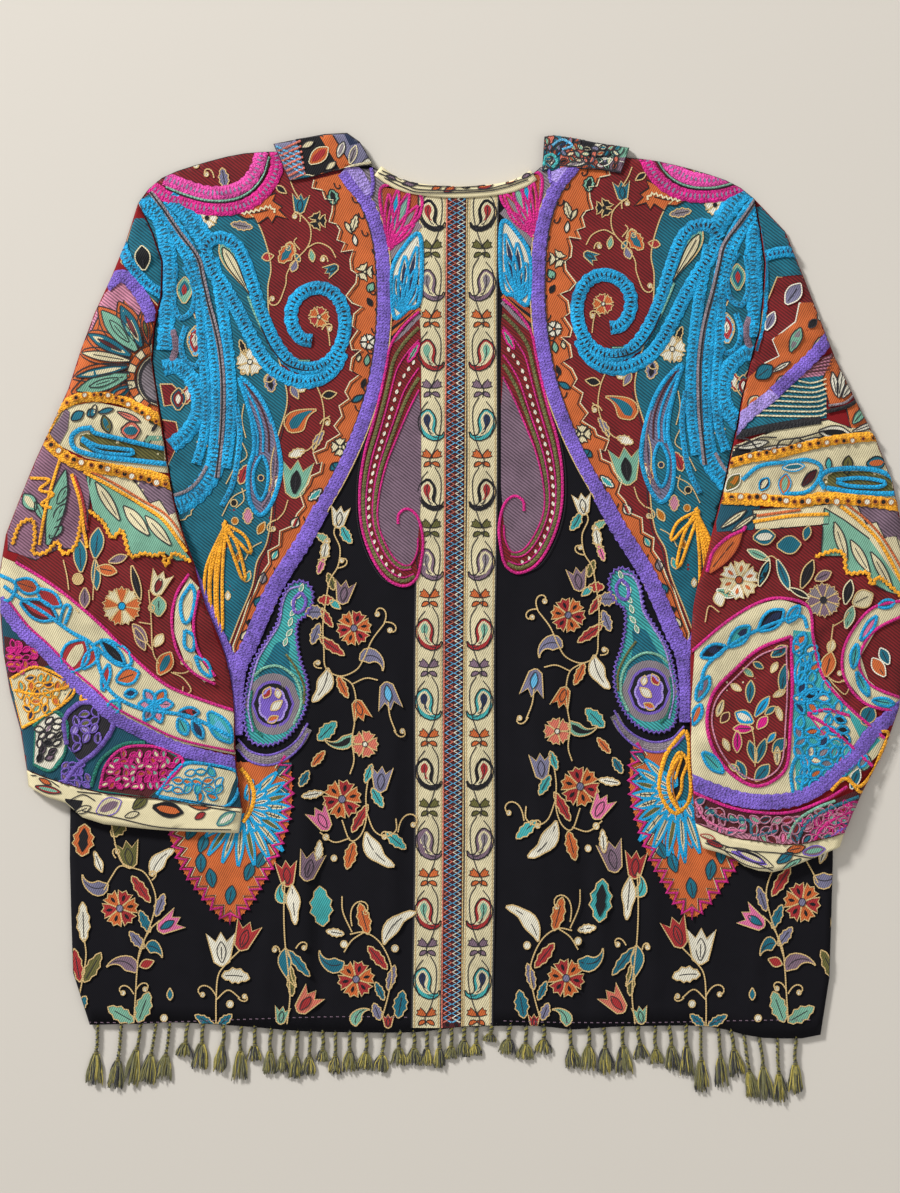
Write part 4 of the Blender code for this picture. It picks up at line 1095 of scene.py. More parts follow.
def body_half(work):
    """Everything on one half of the back, set out for its left side."""
    # The woven grounds, the serrated border beside the purple arm, and what lies on them
    work.rounded(CRIMSON_FIELD, 6, "crimson")
    teal = list(TEAL_EDGE) + [(222, 648), (200, 606), (172, 548), (158, 500), (146, 420),
                              (138, 320), (134, 240), (146, 196), (190, 200)]
    work.rounded(teal, 5, "teal")
    work.line(TEAL_EDGE, "beige", 1.3)
    work.line([(c + 3, r + 1) for c, r in TEAL_EDGE[8:]], "soot", 0.9)
    arm = smooth(PURPLE_ARM[:19], 5)
    work.field(list(SERRATED) + arm[::-1], "orange", "satin")
    work.band(list(SERRATED), 1.2, "cream", "thread", 0.5)
    work.band([(c + 2.6, r + 1.5) for c, r in SERRATED], 1.0, "black", "thread", 0.5)
    for stem in FIELD_STEMS:
        work.line(stem)
    for table, edge in ((FIELD_MOTIFS, "beige"), (BORDER_MOTIFS, "black"), (TEAL_MOTIFS, "beige")):
        set_motifs(work, table, edge)
    for k in range(2, len(arm) - 6, 4):
        c, r = arm[k]
        work.curl(c - 9 - 3 * (k % 3), r + 3, 200 + 40 * (k % 4), 13, 1 - 2 * (k % 2), "black", None)
    for c, r, angle, length, side in ((300, 222, 80, 18, 1), (296, 252, 100, 20, 1),
                                      (282, 296, 250, 24, -1), (328, 262, 100, 14, 1),
                                      (322, 330, 60, 18, -1), (320, 424, 60, 18, -1),
                                      (276, 520, 200, 22, 1)):
        work.curl(c, r, angle, length, side)
    # The blue spiral and the blue runs that fall from it
    work.stitched(SPIRAL_OUTER, 14, "blue", "ladder", "black", 0.6, 1.0)
    work.stitched(SPIRAL, 13.5, "blue", "ladder", "black", 0.66, 1.1)
    work.line([(c - 1, r + 1) for c, r in SPIRAL_BETWEEN], "black", 1.6, 1.6)
    work.blade(221, 243, -61, 62, 16, "seafoam", 2, "drop", "beige", lift=0.62, thick=1.4)
    work.blade(223, 248, -61, 56, 10.5, "cream", 2, "drop", "black", lift=0.8, thick=1.2)
    work.cord(SPIRAL_CORE_TAIL, 2.6, "seafoam", 0.7)
    work.cord([(c + 1.8, r - 1) for c, r in SPIRAL_CORE_TAIL], 1.2, "black", 0.8, 0.2)
    for places, width in BLUE_RUNS:
        work.stitched(places, width, "blue", "ladder", "deep teal", 0.5, 1.0)
    for c, r, length, width, dyes in ((184, 303, 26, 15, ("seafoam", "teal", "red")),
                                      (195, 356, 30, 16, ("sky", "red", "pale")),
                                      (178, 410, 22, 15, ("deep teal", "crimson", "pale")),
                                      (205, 404, 14, 9, ("sky", "ink", "pale"))):
        for k, dye in enumerate(dyes):
            work.blade(c, r - 0.14 * length * k, 88, length * (1 - 0.28 * k), width * (1 - 0.33 * k), dye,
                       0, "petal", "beige" if k == 0 else None, lift=0.5 + 0.1 * k, thick=1.1)
    for outline in (((160, 384), (172, 384), (180, 392), (178, 404), (164, 406)),
                    ((160, 420), (176, 422), (180, 440), (168, 464), (158, 462))):
        work.field(outline, "crimson", edge="beige")
    work.band(smooth(((172, 330), (176, 345), (172, 362))), 7, "mauve", "chain", 0.5, 0.6, 4)
    work.cord(SEAM, 5.2, "grey", 1.2, 0.5)
    work.cord([(c - 0.8, r) for c, r in SEAM], 1.7, "black", 1.75, 0.3)
    work.cord(((166, 498), (186, 491), (198, 481), (207, 466)), 3.4, "grey", 1.7, 0.3)
    for vine in (((226, 484), (236, 466), (247, 456), (241, 440)), ((222, 516), (232, 498), (246, 490)),
                 ((236, 508), (244, 500), (242, 488)), ((228, 540), (236, 530), (247, 540)),
                 ((245, 560), (252, 548), (262, 542)), ((244, 404), (242, 420), (246, 438))):
        work.line(vine, "beige", 1.1)
    # The long blue loop
    work.rounded(BLUE_LOOP, 4, "dusk")
    work.cord(BLUE_LOOP, 4.4, "blue", 0.5, 0.8, True)
    for width, dye, places in (
            (2.6, "blue", ((244, 386), (256, 408), (263, 432), (263, 452))),
            (1.8, "wine", ((246, 384), (260, 406), (268, 430), (269, 452))),
            (2.4, "mauve", ((248, 382), (264, 404), (273, 430), (276, 458), (272, 488), (262, 507))),
            (2.6, "blue", ((243, 392), (252, 414), (258, 436), (257, 456)))):
        work.cord(places, width, dye, 0.5, 0.5)
    inner = ((262, 456), (268, 470), (267, 488), (261, 500), (255, 490), (254, 472))
    work.rounded(inner, 3, "teal")
    work.cord(inner, 3.4, "blue", 0.5, 0.7, True)
    work.berry(261, 478, 6, "ink")
    # The shoulder bands, and the flame under them
    work.stitched(SHOULDER_BAND, 13.5, "magenta", "ladder", "dusk", 0.5, 1.0)
    work.stitched(SHOULDER_BAND_INNER, 14, "fuchsia", "ladder", "dusk", 0.5, 1.0)
    between = [((a[0] + b[0]) / 2, (a[1] + b[1]) / 2) for a, b in
               zip(SHOULDER_BAND[1:], SHOULDER_BAND_INNER)]
    work.cord(between, 2.4, "seafoam", 0.9, 0.3)
    work.cord([(c, r + 1.5) for c, r in between], 1.4, "black", 1.1, 0.2)
    flame = ((233, 212), (243, 207), (252, 206), (262, 199), (276, 193), (273, 201), (282, 207),
             (279, 210), (288, 219), (276, 216), (272, 223), (268, 217), (258, 224), (254, 218),
             (246, 219))
    work.field(flame, "orange", "satin", edge="black", edge_width=1.6)
    work.band(serrate(((242, 213), (256, 210), (270, 206), (276, 212)), 2.0, 5), 2.2, "cream", "thread", 0.6)
    work.line(((238, 212), (254, 213), (268, 210)), "black", 1.0)
    set_motifs(work, (("leaf", 222, 168, -80, 22, 10, "dusk"), ("curl", 214, 178, 100, 20, 1, None),
                      ("berry", 196, 165, 0, 6, None, "pale")))
    # The yellow loops
    for tip_c, tip_r, bend in ((250, 551, 12), (244, 577, 7), (221, 628, -2), (214, 618, -8),
                               (207, 602, -10)):
        half_c, half_r = (YELLOW_ROOT[0] + tip_c) / 2 + bend * 0.5, (YELLOW_ROOT[1] + tip_r) / 2
        loop = (YELLOW_ROOT, (half_c, half_r - 3), (tip_c + 1.5, tip_r), (tip_c - 2, tip_r + 1),
                (half_c - 5, half_r + 4), (224, 528))
        work.cord(loop, 3.2, "yellow", 0.8, 0.9, True)
    beside_strip(work)
    feather_and_lobe(work)
    for stem in VINES:
        work.line(stem, "beige", 1.3)
    set_motifs(work, VINE_MOTIFS)
    # The purple arm, its upper end and its fork
    work.stitched(PURPLE_ARM[:13], 13.5, "purple", lift=0.5, crown=1.1)
    work.stitched(PURPLE_ARM[12:], 16.5, "purple", lift=0.52, crown=1.2)
    work.stitched(((346, 168), (356, 178), (366, 196)), 19, "lilac", lift=0.54, crown=0.9)
    work.cord(((371, 168), (373, 182), (371, 196)), 3.6, "purple", 0.7, 0.7)
    work.stitched(((186, 560), (203, 598), (216, 628), (228, 654), (236, 674)), 12, "purple", lift=0.5,
                  crown=1.0)
    for offset, dye in ((7.5, "beige"), (-7.5, "soot")):
        work.line([(c + offset, r + 1) for c, r in PURPLE_ARM[1:18]], dye, 1.2)


def beside_strip(work):
    """The leaf, the fan and the long paisley between the purple arm and the border strip."""
    work.field(((350, 168), (384, 170), (388, 226), (378, 226), (366, 196)), "grey")
    work.field(FAN_BESIDE_STRIP, "rust", "satin")
    for tip, width, dye, heart in (((389, 194), 8, "orange", "wine"), ((398, 189), 9, "seafoam", "blue"),
                                   ((409, 193), 11, "dusk", "seafoam"), ((418, 206), 10, "rust", "grey"),
                                   ((414, 224), 8, "orange", "blue")):
        work.toward(389, 247, *tip, width, dye, "magenta", heart, lift=0.4, thick=2.6, raised=0.5)
    work.cord(FAN_BESIDE_STRIP, 3.2, "magenta", 0.5, 0.6, True)
    work.band(smooth(((386, 262), (400, 244), (420, 224))), 7, "grey", "satin", 0.3)
    work.rounded(LEAF_BESIDE_STRIP, 5, "pale", "satin")
    for tip, width in (((396, 276), 9), ((405, 256), 10), ((417, 247), 9), ((417, 268), 8),
                       ((395, 296), 8), ((418, 286), 8)):
        work.toward(402, 312, *tip, width, "pale", "blue", "ink", lift=0.4, thick=2.6, raised=0.5)
    work.cord(LEAF_BESIDE_STRIP, 4.4, "blue", 0.5, 0.8, True)
    for k, dye in enumerate(("rust", "black", "orange", "soot", "grey")):
        work.band(smooth(((390, 326 + k * 4.5), (404, 316 + k * 4), (420, 303 + k * 3))), 4, dye,
                  "satin", 0.3)
    body = smooth(MAGENTA_OUTER[:16], 4)
    work.field(body + [(421, 500), (421, 400), (421, 340)], "crimson")
    inner = smooth(MAGENTA_INNER, 4)
    work.field(inner + [(421, 500), (421, 420)], "mauve")
    outer = smooth(MAGENTA_OUTER[:13], 2.5)
    inside = smooth(MAGENTA_INNER[:9], 2.5)
    for share, width, dye in ((0.2, 3.6, "olive"), (0.36, 1.6, "magenta"), (0.84, 3.4, "olive"),
                              (0.72, 1.6, "magenta")):
        line = between_lines(outer, inside, share)
        work.band(line, width, dye, "narrow_chain", 0.45, 0.4, 2)
    beads = between_lines(outer, inside, 0.55)
    for k in range(2, len(beads) - 2, 2):
        work.blade(beads[k][0], beads[k][1], -110 + 12 * (k % 2), 5, 3, "pale", 0, "petal", None, lift=0.5)
    work.blade(408, 362, 60, 22, 6, "seafoam", 0, "leaf", "magenta", thick=1.8)
    work.cord(MAGENTA_OUTER, 2.8, "magenta", 0.6, 0.7)
    work.cord(MAGENTA_INNER, 1.8, "magenta", 0.6, 0.5)
    work.line([(c - 3.2, r + 1) for c, r in MAGENTA_OUTER[:12]], "black", 1.0)


def between_lines(first, second, share):
    """A line that runs at a share of the way from one line to another."""
    line = []
    for k in range(60):
        t = k / 59
        a = first[min(int(t * (len(first) - 1)), len(first) - 1)]
        b = second[min(int(t * (len(second) - 1)), len(second) - 1)]
        line.append((a[0] + (b[0] - a[0]) * share, a[1] + (b[1] - a[1]) * share))
    return [line[0]] + [((a[0] + 2 * b[0] + c[0]) / 4, (a[1] + 2 * b[1] + c[1]) / 4)
                        for a, b, c in zip(line, line[1:], line[2:])] + [line[-1]]


def serrate(points, depth, pitch, closed=False):
    """A line through places that runs in teeth."""
    line = smooth(points, pitch / 2, closed)
    teeth = []
    for k, (c, r) in enumerate(line):
        nc, nr = normal_at(line, k)
        off = depth * (1 if k % 2 else -0.2)
        teeth.append((c + nc * off, r + nr * off))
    return teeth


def feather_and_lobe(work):
    """The curling feather in the fork of the purple arms, and the orange lobe below it."""
    whole = smooth(FEATHER, 4, True)[:-1]
    work.field(whole, "aqua")
    inner = [(c * 0.7 + 272 * 0.3, r * 0.74 + 702 * 0.26) for c, r in FEATHER[3:17]]
    work.rounded(inner, 4, "teal")
    for radius, dye, lift in ((28, "grey", 0.17), (21.5, "purple", 0.2), (19, "black", 0.23)):
        work.blade(EYE[0] - radius, EYE[1] - 1, 0, radius * 2, radius * 2.2, dye, 0, "disc", None, lift=lift)
    lobes = []
    for k in range(42):
        a = 2 * math.pi * k / 42
        swell = 1.7 * abs(math.cos(3.5 * a))
        lobes.append((EYE[0] + (12.5 + swell) * math.cos(a), EYE[1] + (15.5 + swell) * math.sin(a)))
    work.field(lobes, "purple", "satin", 0.38, "lilac", 2.0)
    for c, r, angle, length, width, dye in ((264, 698, 60, 13, 8, "red"), (271, 710, 40, 15, 8, "pale"),
                                            (279, 698, 100, 10, 6, "pale"), (268, 722, 30, 12, 7, "orange")):
        work.blade(c, r, angle, length, width, dye, lift=0.55)
    work.cord(((254, 676), (264, 668), (278, 666), (292, 674), (300, 688), (301, 706), (294, 724)), 2.6,
              "seafoam", 0.7, 0.4)
    work.cord(((286, 654), (296, 668), (304, 686), (304, 704)), 2.2, "olive", 0.6, 0.4)
    work.cord(((252, 690), (250, 708), (254, 726), (262, 736)), 2.6, "green", 0.6, 0.4)
    for k, (c, r) in enumerate(smooth(((300, 592), (292, 606), (289, 626), (284, 646)), 9)):
        work.blade(c, r, 70 - 20 * (k % 2), 9, 4, "seafoam", 0, "leaf", "pale", thick=0.8)
    work.band(serrate(FEATHER, 2.2, 5, True), 2.4, "purple", "narrow_chain", 0.6, 0.6, 2)
    work.cord([(c * 0.9 + 28, r * 0.93 + 45) for c, r in FEATHER[:9]], 2.0, "lilac", 0.55, 0.4)
    work.cord([(301, 592), (294, 600), (295, 612), (303, 610), (306, 600), (301, 592)], 3.4, "purple",
              0.6, 0.6)
    work.band(smooth(FEATHER_HOOK), 9, "grey", "chain", 0.4, 0.5, 4)
    for offset in (-5, 5):
        work.cord([(c, r + offset) for c, r in FEATHER_HOOK], 2.2, "purple", 0.6, 0.6)
    # The orange lobe
    work.rounded(LOBE, 5, "orange", "satin")
    teeth = serrate(LOBE[2:16], 8, 12.5)
    work.field(serrate(LOBE, 8, 12.5, True)[:-1], "orange", "satin")
    work.band(teeth, 3.6, "magenta", "narrow_chain", 0.6, 0.8, 2)
    inner = serrate([(c * 0.93 + 233 * 0.07, r * 0.95 + 830 * 0.05) for c, r in LOBE[2:16]], 7.5, 12.5)
    work.band(inner, 1.1, "black", "thread", 0.5)
    work.band([(c * 0.98 + 233 * 0.02, r) for c, r in inner], 1.4, "cream", "thread", 0.45)
    for c, r, angle in LOBE_DOTS:
        work.blade(c - 3, r + 7, angle, 19, 10.5, "teal", 0, "petal", "soot", thick=0.9)
    for k in range(15):
        angle = -172 + k * 15.5
        dc, dr = heading(angle)
        reach = 48 if -135 < angle < -45 else 36
        work.blade(STAR[0] + dc * 12, STAR[1] + dr * 12, angle, reach, 7, "cream", 0, "petal", "blue",
                   "olive" if k % 3 == 0 else None, 0.4, thick=2.4)
    for k in range(11):
        angle = -120 + k * 19
        dc, dr = heading(angle)
        work.blade(STAR[0] + dc * 8, STAR[1] + dr * 8, angle, 20, 6, "pale", 0, "petal", "blue", None, 0.6,
                   thick=2.2)
    work.cord(((241, 768), (250, 780), (254, 794), (251, 810), (243, 822)), 4.2, "yellow", 0.9, 0.9)
    work.cord(((243, 772), (249, 786), (249, 804), (244, 818)), 1.6, "amber", 1.3, 0.4)


STITCHES = ornament_materials()
TONES = {dye: linear(dye) for dye in DYES}
HEM_GAP = (408, 500)      # the running stitches above the hem leave out the border strips


def build_body():
    black = plain_cloth("black_shawl_cloth", "black")
    shell = cloth_shell("back", 3, BODY_CREASES, black, 0.28)
    cloth = Cloth(shell, 0.003)
    pieces = []
    for mirrored in (False, True):
        work = Work()
        work.mirrored = mirrored
        body_half(work)
        pieces += lay(work, "back_" + ("right" if mirrored else "left"), cloth)
    depth = work.layers
    work = Work()
    border_strip(work, 433.0, 427.0, 29.0, -1)
    border_strip(work, 483.0, 477.5, 31.0, 1)
    braid(work)
    for tip in RIGHT_RAYS:
        root_c = RIGHT_RAYS_ROOT[0] + (tip[0] - RIGHT_RAYS_ROOT[0]) * 0.2
        work.toward(root_c, RIGHT_RAYS_ROOT[1], *tip, 8, "cream", "blue", "olive", thick=3.0, raised=0.6)
    work.layers = depth    # the leaf lies over all fields of the right half
    work.rounded(YELLOW_LEAF, 4, "teal")
    work.cord(YELLOW_LEAF, 4.4, "yellow", 0.6, 0.9, True)
    work.rounded(YELLOW_LEAF_HEART, 4, "black", "satin")
    work.cord(YELLOW_LEAF_HEART, 3.2, "yellow", 0.6, 0.8, True)
    work.cord(((682, 755), (678, 768), (675, 779)), 3.0, "yellow", 0.6, 0.8)
    for n in range(118):
        c = 82 + n * 6.2
        if not HEM_GAP[0] < c < HEM_GAP[1]:
            r = 1019.5 + 3.0 * math.sin(c / 75.0) + max(c - 600, 0) * 4 / 250
            work.band([(c, r), (c + 2.6, r + 0.1)], 0.8, "mauve", "thread", 0.4)
    return shell, pieces + lay(work, "border", cloth)


# Woven grounds of the sleeves: dye, edge thread, outline
LEFT_GROUNDS = (
    ("crimson", None, ((20, 552), (60, 545), (92, 505), (130, 528), (165, 545), (194, 562), (216, 636),
        (248, 712), (240, 716), (196, 700), (165, 686), (132, 658), (99, 625), (71, 601), (46, 584),
        (14, 564))),
    ("teal", "beige", ((122, 218), (174, 218), (176, 300), (160, 306), (140, 286), (121, 262))),
    ("rose", "soot", ((98, 300), (119, 280), (136, 292), (152, 320), (138, 318), (124, 302), (117, 318),
        (103, 307), (97, 336), (84, 340))),
    ("orange", "soot", ((103, 307), (117, 318), (124, 300), (138, 316), (152, 322), (176, 340), (176, 436),
        (141, 412), (120, 402), (60, 406), (74, 359), (94, 326))),
    ("cream", None, ((58, 408), (96, 402), (141, 412), (178, 436), (180, 474), (138, 470), (86, 458),
        (60, 446), (50, 428))),
    ("olive", None, ((80, 436), (92, 432), (120, 440), (178, 452), (178, 462), (138, 459), (98, 455),
        (80, 446))),
    ("seafoam", "soot", ((144, 443), (148, 436), (178, 436), (178, 441), (151, 441), (148, 445))),
    ("plum", "soot", ((36, 440), (56, 456), (90, 470), (90, 500), (84, 550), (60, 548), (36, 560), (8, 550),
        (6, 500))),
    ("cream", None, ((84, 468), (120, 474), (190, 488), (200, 560), (168, 524), (130, 500))),
    ("mauve", "soot", ((132, 478), (150, 480), (190, 488), (196, 530), (180, 512), (170, 515), (160, 500),
        (150, 503), (140, 488))),
    ("seafoam", "soot", ((86, 474), (112, 488), (142, 506), (168, 524), (192, 560), (178, 561), (165, 553),
        (156, 556), (144, 553), (132, 555), (123, 530), (113, 537), (104, 521), (94, 512))),
    ("cream", None, ((0, 556), (24, 566), (46, 582), (71, 599), (99, 623), (132, 656), (165, 684),
        (196, 698), (240, 713), (244, 756), (179, 742), (146, 727), (118, 713), (94, 692), (71, 671),
        (45, 647), (20, 628), (-4, 600))),
    ("cream", None, ((190, 577), (200, 588), (194, 604), (192, 622), (196, 652), (216, 680), (205, 682),
        (186, 662), (175, 632), (177, 600))),
    ("deep teal", None, ((-6, 606), (24, 636), (71, 682), (113, 720), (179, 752), (246, 770), (250, 830),
        (70, 812), (20, 790), (-6, 700))),
    ("wine", None, ((4, 636), (28, 642), (52, 664), (34, 670), (6, 680))),
    ("cream", "yellow", ((10, 678), (38, 668), (75, 686), (61, 706), (22, 728))),
    ("pale", "green", ((36, 724), (56, 712), (68, 722), (66, 752), (52, 770), (34, 764))),
    ("soot", "purple", ((66, 716), (84, 702), (108, 708), (114, 726), (100, 750), (80, 760), (68, 744))),
    ("wine", "green", ((99, 790), (106, 763), (127, 746), (160, 746), (186, 761), (166, 784), (150, 798))),
    ("cream", "blue", ((158, 794), (175, 771), (193, 762), (238, 772), (226, 806))),
    ("mauve", None, ((66, 408), (58, 422), (46, 434), (60, 444), (68, 430), (70, 412))),
)
# Chain stitch of the sleeves, in columns kind, width, dye, line
LEFT_BANDS = (
    ("ladder", 11, "blue", ((118, 232), (126, 256), (136, 272), (152, 288), (168, 296))),
    ("chain", 13, "purple", ((106, 286), (122, 276), (136, 288), (147, 306), (152, 322))),
    ("rings", 10, "yellow", ((58, 408), (77, 399), (96, 397), (120, 400), (141, 409), (160, 420),
        (176, 434))),
    ("cord", 3.5, "yellow", ((64, 404), (55, 420), (46, 436))),
    ("cord", 5, "blue", ((93, 428), (80, 430), (72, 438), (77, 450), (103, 457), (138, 461), (176, 465))),
    ("cord", 4.5, "blue", ((93, 428), (95, 433), (120, 439), (150, 446), (176, 451))),
    ("cord", 4, "blue", ((82, 438), (98, 446), (122, 449), (133, 451), (130, 455), (100, 452), (82, 440))),
    ("rings", 12, "yellow", ((42, 432), (52, 446), (69, 459), (86, 466), (107, 469), (131, 473), (153, 477),
        (182, 488))),
    ("cord", 3, "yellow", ((62, 455), (54, 480), (46, 510), (40, 545))),
    ("cord", 3, "yellow", ((30, 478), (50, 480), (40, 490), (54, 494), (42, 504), (52, 508))),
    ("cord", 3.4, "yellow", ((72, 474), (80, 500), (84, 528), (88, 548))),
    ("cord", 2.6, "red", ((75, 476), (83, 500), (88, 530))),
    ("cord", 3.4, "yellow", ((84, 472), (112, 487), (142, 505), (165, 521), (188, 552))),
    ("cord", 2.4, "orange", ((84, 468), (112, 482), (142, 500), (168, 516), (190, 545))),
    ("teeth", 3.6, "yellow", ((12, 544), (20, 524), (34, 520), (36, 540), (34, 552), (46, 552), (58, 541),
        (64, 553), (76, 544), (82, 512))),
    ("teeth", 3.6, "yellow", ((90, 510), (104, 522), (113, 537), (123, 530), (132, 555), (144, 553),
        (156, 555), (165, 553), (167, 565), (175, 553), (192, 561))),
    ("cord", 3, "magenta", ((16, 562), (46, 580), (71, 598), (99, 622), (132, 655), (165, 683), (196, 697),
        (240, 712))),
    ("cord", 2.8, "magenta", ((190, 574), (178, 593), (173, 622), (179, 652), (194, 672), (216, 684))),
    ("cord", 2.8, "magenta", ((200, 590), (195, 622), (199, 650), (216, 676))),
    ("cord", 3.6, "blue", ((192, 584), (182, 602), (185, 622), (192, 618), (196, 596), (192, 584))),
    ("cord", 3.6, "blue", ((186, 630), (186, 646), (194, 650), (195, 636), (186, 630))),
    ("cord", 3.6, "blue", ((196, 656), (202, 670), (212, 676), (208, 662), (196, 656))),
    ("chain", 13, "purple", ((-2, 600), (8, 612), (24, 632), (47, 652), (71, 678), (94, 697), (113, 715),
        (142, 731), (179, 748), (212, 757), (244, 764))),
    ("cord", 2.4, "magenta", ((10, 602), (28, 625), (50, 645), (74, 669), (97, 689), (116, 706), (145, 722),
        (182, 739), (240, 752))),
    ("cord", 3, "yellow", ((12, 678), (38, 667), (75, 686), (61, 706), (22, 728))),
    ("cord", 2.6, "yellow", ((14, 690), (40, 694), (70, 686))),
    ("cord", 3, "yellow", ((78, 686), (84, 690), (82, 700), (90, 698))),
    ("cord", 3, "green", ((34, 726), (54, 711), (68, 722), (66, 752), (52, 770), (34, 764))),
    ("chain", 5, "purple", ((68, 744), (66, 718), (84, 702), (108, 708), (114, 726), (98, 750), (76, 768),
        (64, 786))),
    ("cord", 3, "magenta", ((101, 788), (108, 763), (127, 747), (160, 747), (184, 760), (166, 784))),
    ("cord", 3.6, "blue", ((158, 794), (175, 771), (193, 762), (238, 772), (226, 806), (160, 796))),
    ("cord", 3.6, "green", ((92, 786), (102, 760), (124, 744), (146, 742))),
    ("cord", 3.8, "blue", ((4, 586), (24, 600), (47, 614), (71, 631), (94, 645), (101, 669), (113, 692),
        (142, 708), (190, 716), (236, 738))),
    ("cord", 3.6, "blue", ((94, 645), (108, 640), (128, 650), (132, 664), (118, 664), (100, 650))),
    ("cord", 3.6, "blue", ((60, 624), (66, 606), (72, 608), (66, 624))),
    ("cord", 3.6, "blue", ((-2, 574), (16, 584), (10, 600), (-4, 598))),
)
# Blades that grow from one place to another, in columns c, r, to c, to r, width, dye, edge, heart.
# The last two are left out where they are beige and None.
LEFT_BLADES = (
    (144, 270, 142, 246, 15, "black", "cream"), (104, 416, 110, 433, 10, "olive", "black", "teal"),
    (118, 412, 141, 422, 6, "salmon", "soot"), (99, 413, 114, 409, 5, "teal", "soot"),
    (122, 431, 141, 431, 18, "salmon", "soot", "teal"), (158, 424, 152, 432, 4, "soot", None),
    (148, 416, 156, 424, 5, "olive", "soot"), (96, 405, 92, 418, 6, "cream", "soot"),
    (72, 420, 84, 412, 9, "teal", "black"), (88, 416, 96, 410, 8, "teal", "black"),
    (36, 510, 24, 494, 14, "seafoam", "soot", "cream"), (54, 522, 66, 504, 9, "seafoam", "soot"),
    (50, 538, 63, 526, 8, "seafoam", "soot"), (44, 520, 36, 502, 8, "seafoam", "soot"),
    (58, 504, 69, 486, 8, "seafoam", "soot"), (48, 545, 66, 470, 17, "seafoam", "soot", "seafoam"),
    (120, 520, 96, 482, 10, "cream", "soot"), (150, 535, 124, 506, 12, "cream", "soot"),
    (172, 545, 146, 516, 10, "cream", "soot"), (96, 558, 99, 528, 14, "teal"),
    (82, 572, 80, 540, 13, "teal"), (96, 560, 98, 590, 9, "teal"), (86, 588, 86, 608, 10, "mauve"),
    (98, 568, 118, 572, 11, "orange"), (110, 562, 128, 556, 8, "mauve"), (133, 566, 142, 600, 8, "black"),
    (160, 616, 160, 596, 15, "seafoam"), (148, 642, 134, 624, 10, "mauve"),
    (136, 628, 146, 650, 9, "mauve"), (156, 646, 164, 634, 9, "cream"),
    (160, 674, 172, 652, 16, "orange", "beige", "teal"), (154, 612, 152, 604, 6, "cream"),
)
# The same with a blue edge, in columns c, r, to c, to r, width, dye and perhaps heart
LEFT_BLUE_BLADES = (
    (16, 582, 40, 590, 15, "rust"), (22, 602, 58, 618, 20, "wine", "red"), (38, 590, 62, 606, 14, "red"),
    (66, 672, 86, 640, 27, "red", "cream"), (84, 668, 100, 648, 12, "orange", "red"),
    (102, 640, 126, 664, 11, "black"), (104, 690, 110, 664, 8, "orange", "red"),
    (118, 680, 140, 672, 16, "orange"), (126, 694, 138, 692, 8, "ink"),
    (156, 704, 146, 690, 10, "mauve", "rose"), (156, 704, 166, 690, 10, "mauve", "orange"),
    (156, 704, 174, 704, 10, "rose"), (156, 704, 162, 722, 10, "rust", "rose"),
    (156, 704, 146, 720, 10, "mauve"), (156, 704, 140, 704, 9, "rose"),
    (180, 712, 200, 712, 10, "red", "black"), (180, 718, 188, 734, 11, "aqua"),
    (194, 720, 204, 738, 9, "ink"), (210, 712, 232, 742, 18, "aqua", "sky"),
    (110, 714, 120, 700, 12, "aqua"),
)
LEFT_STEMS = (
    ((94, 600), (95, 580), (97, 560)),
    ((80, 612), (66, 596), (50, 590), (34, 580)),
    ((150, 590), (152, 612), (154, 650), (160, 664)),
    ((154, 650), (146, 640)),
    ((172, 672), (184, 678), (192, 690), (184, 694), (184, 686)),
    ((152, 624), (140, 622)),
    ((64, 560), (68, 576), (70, 590)),
)
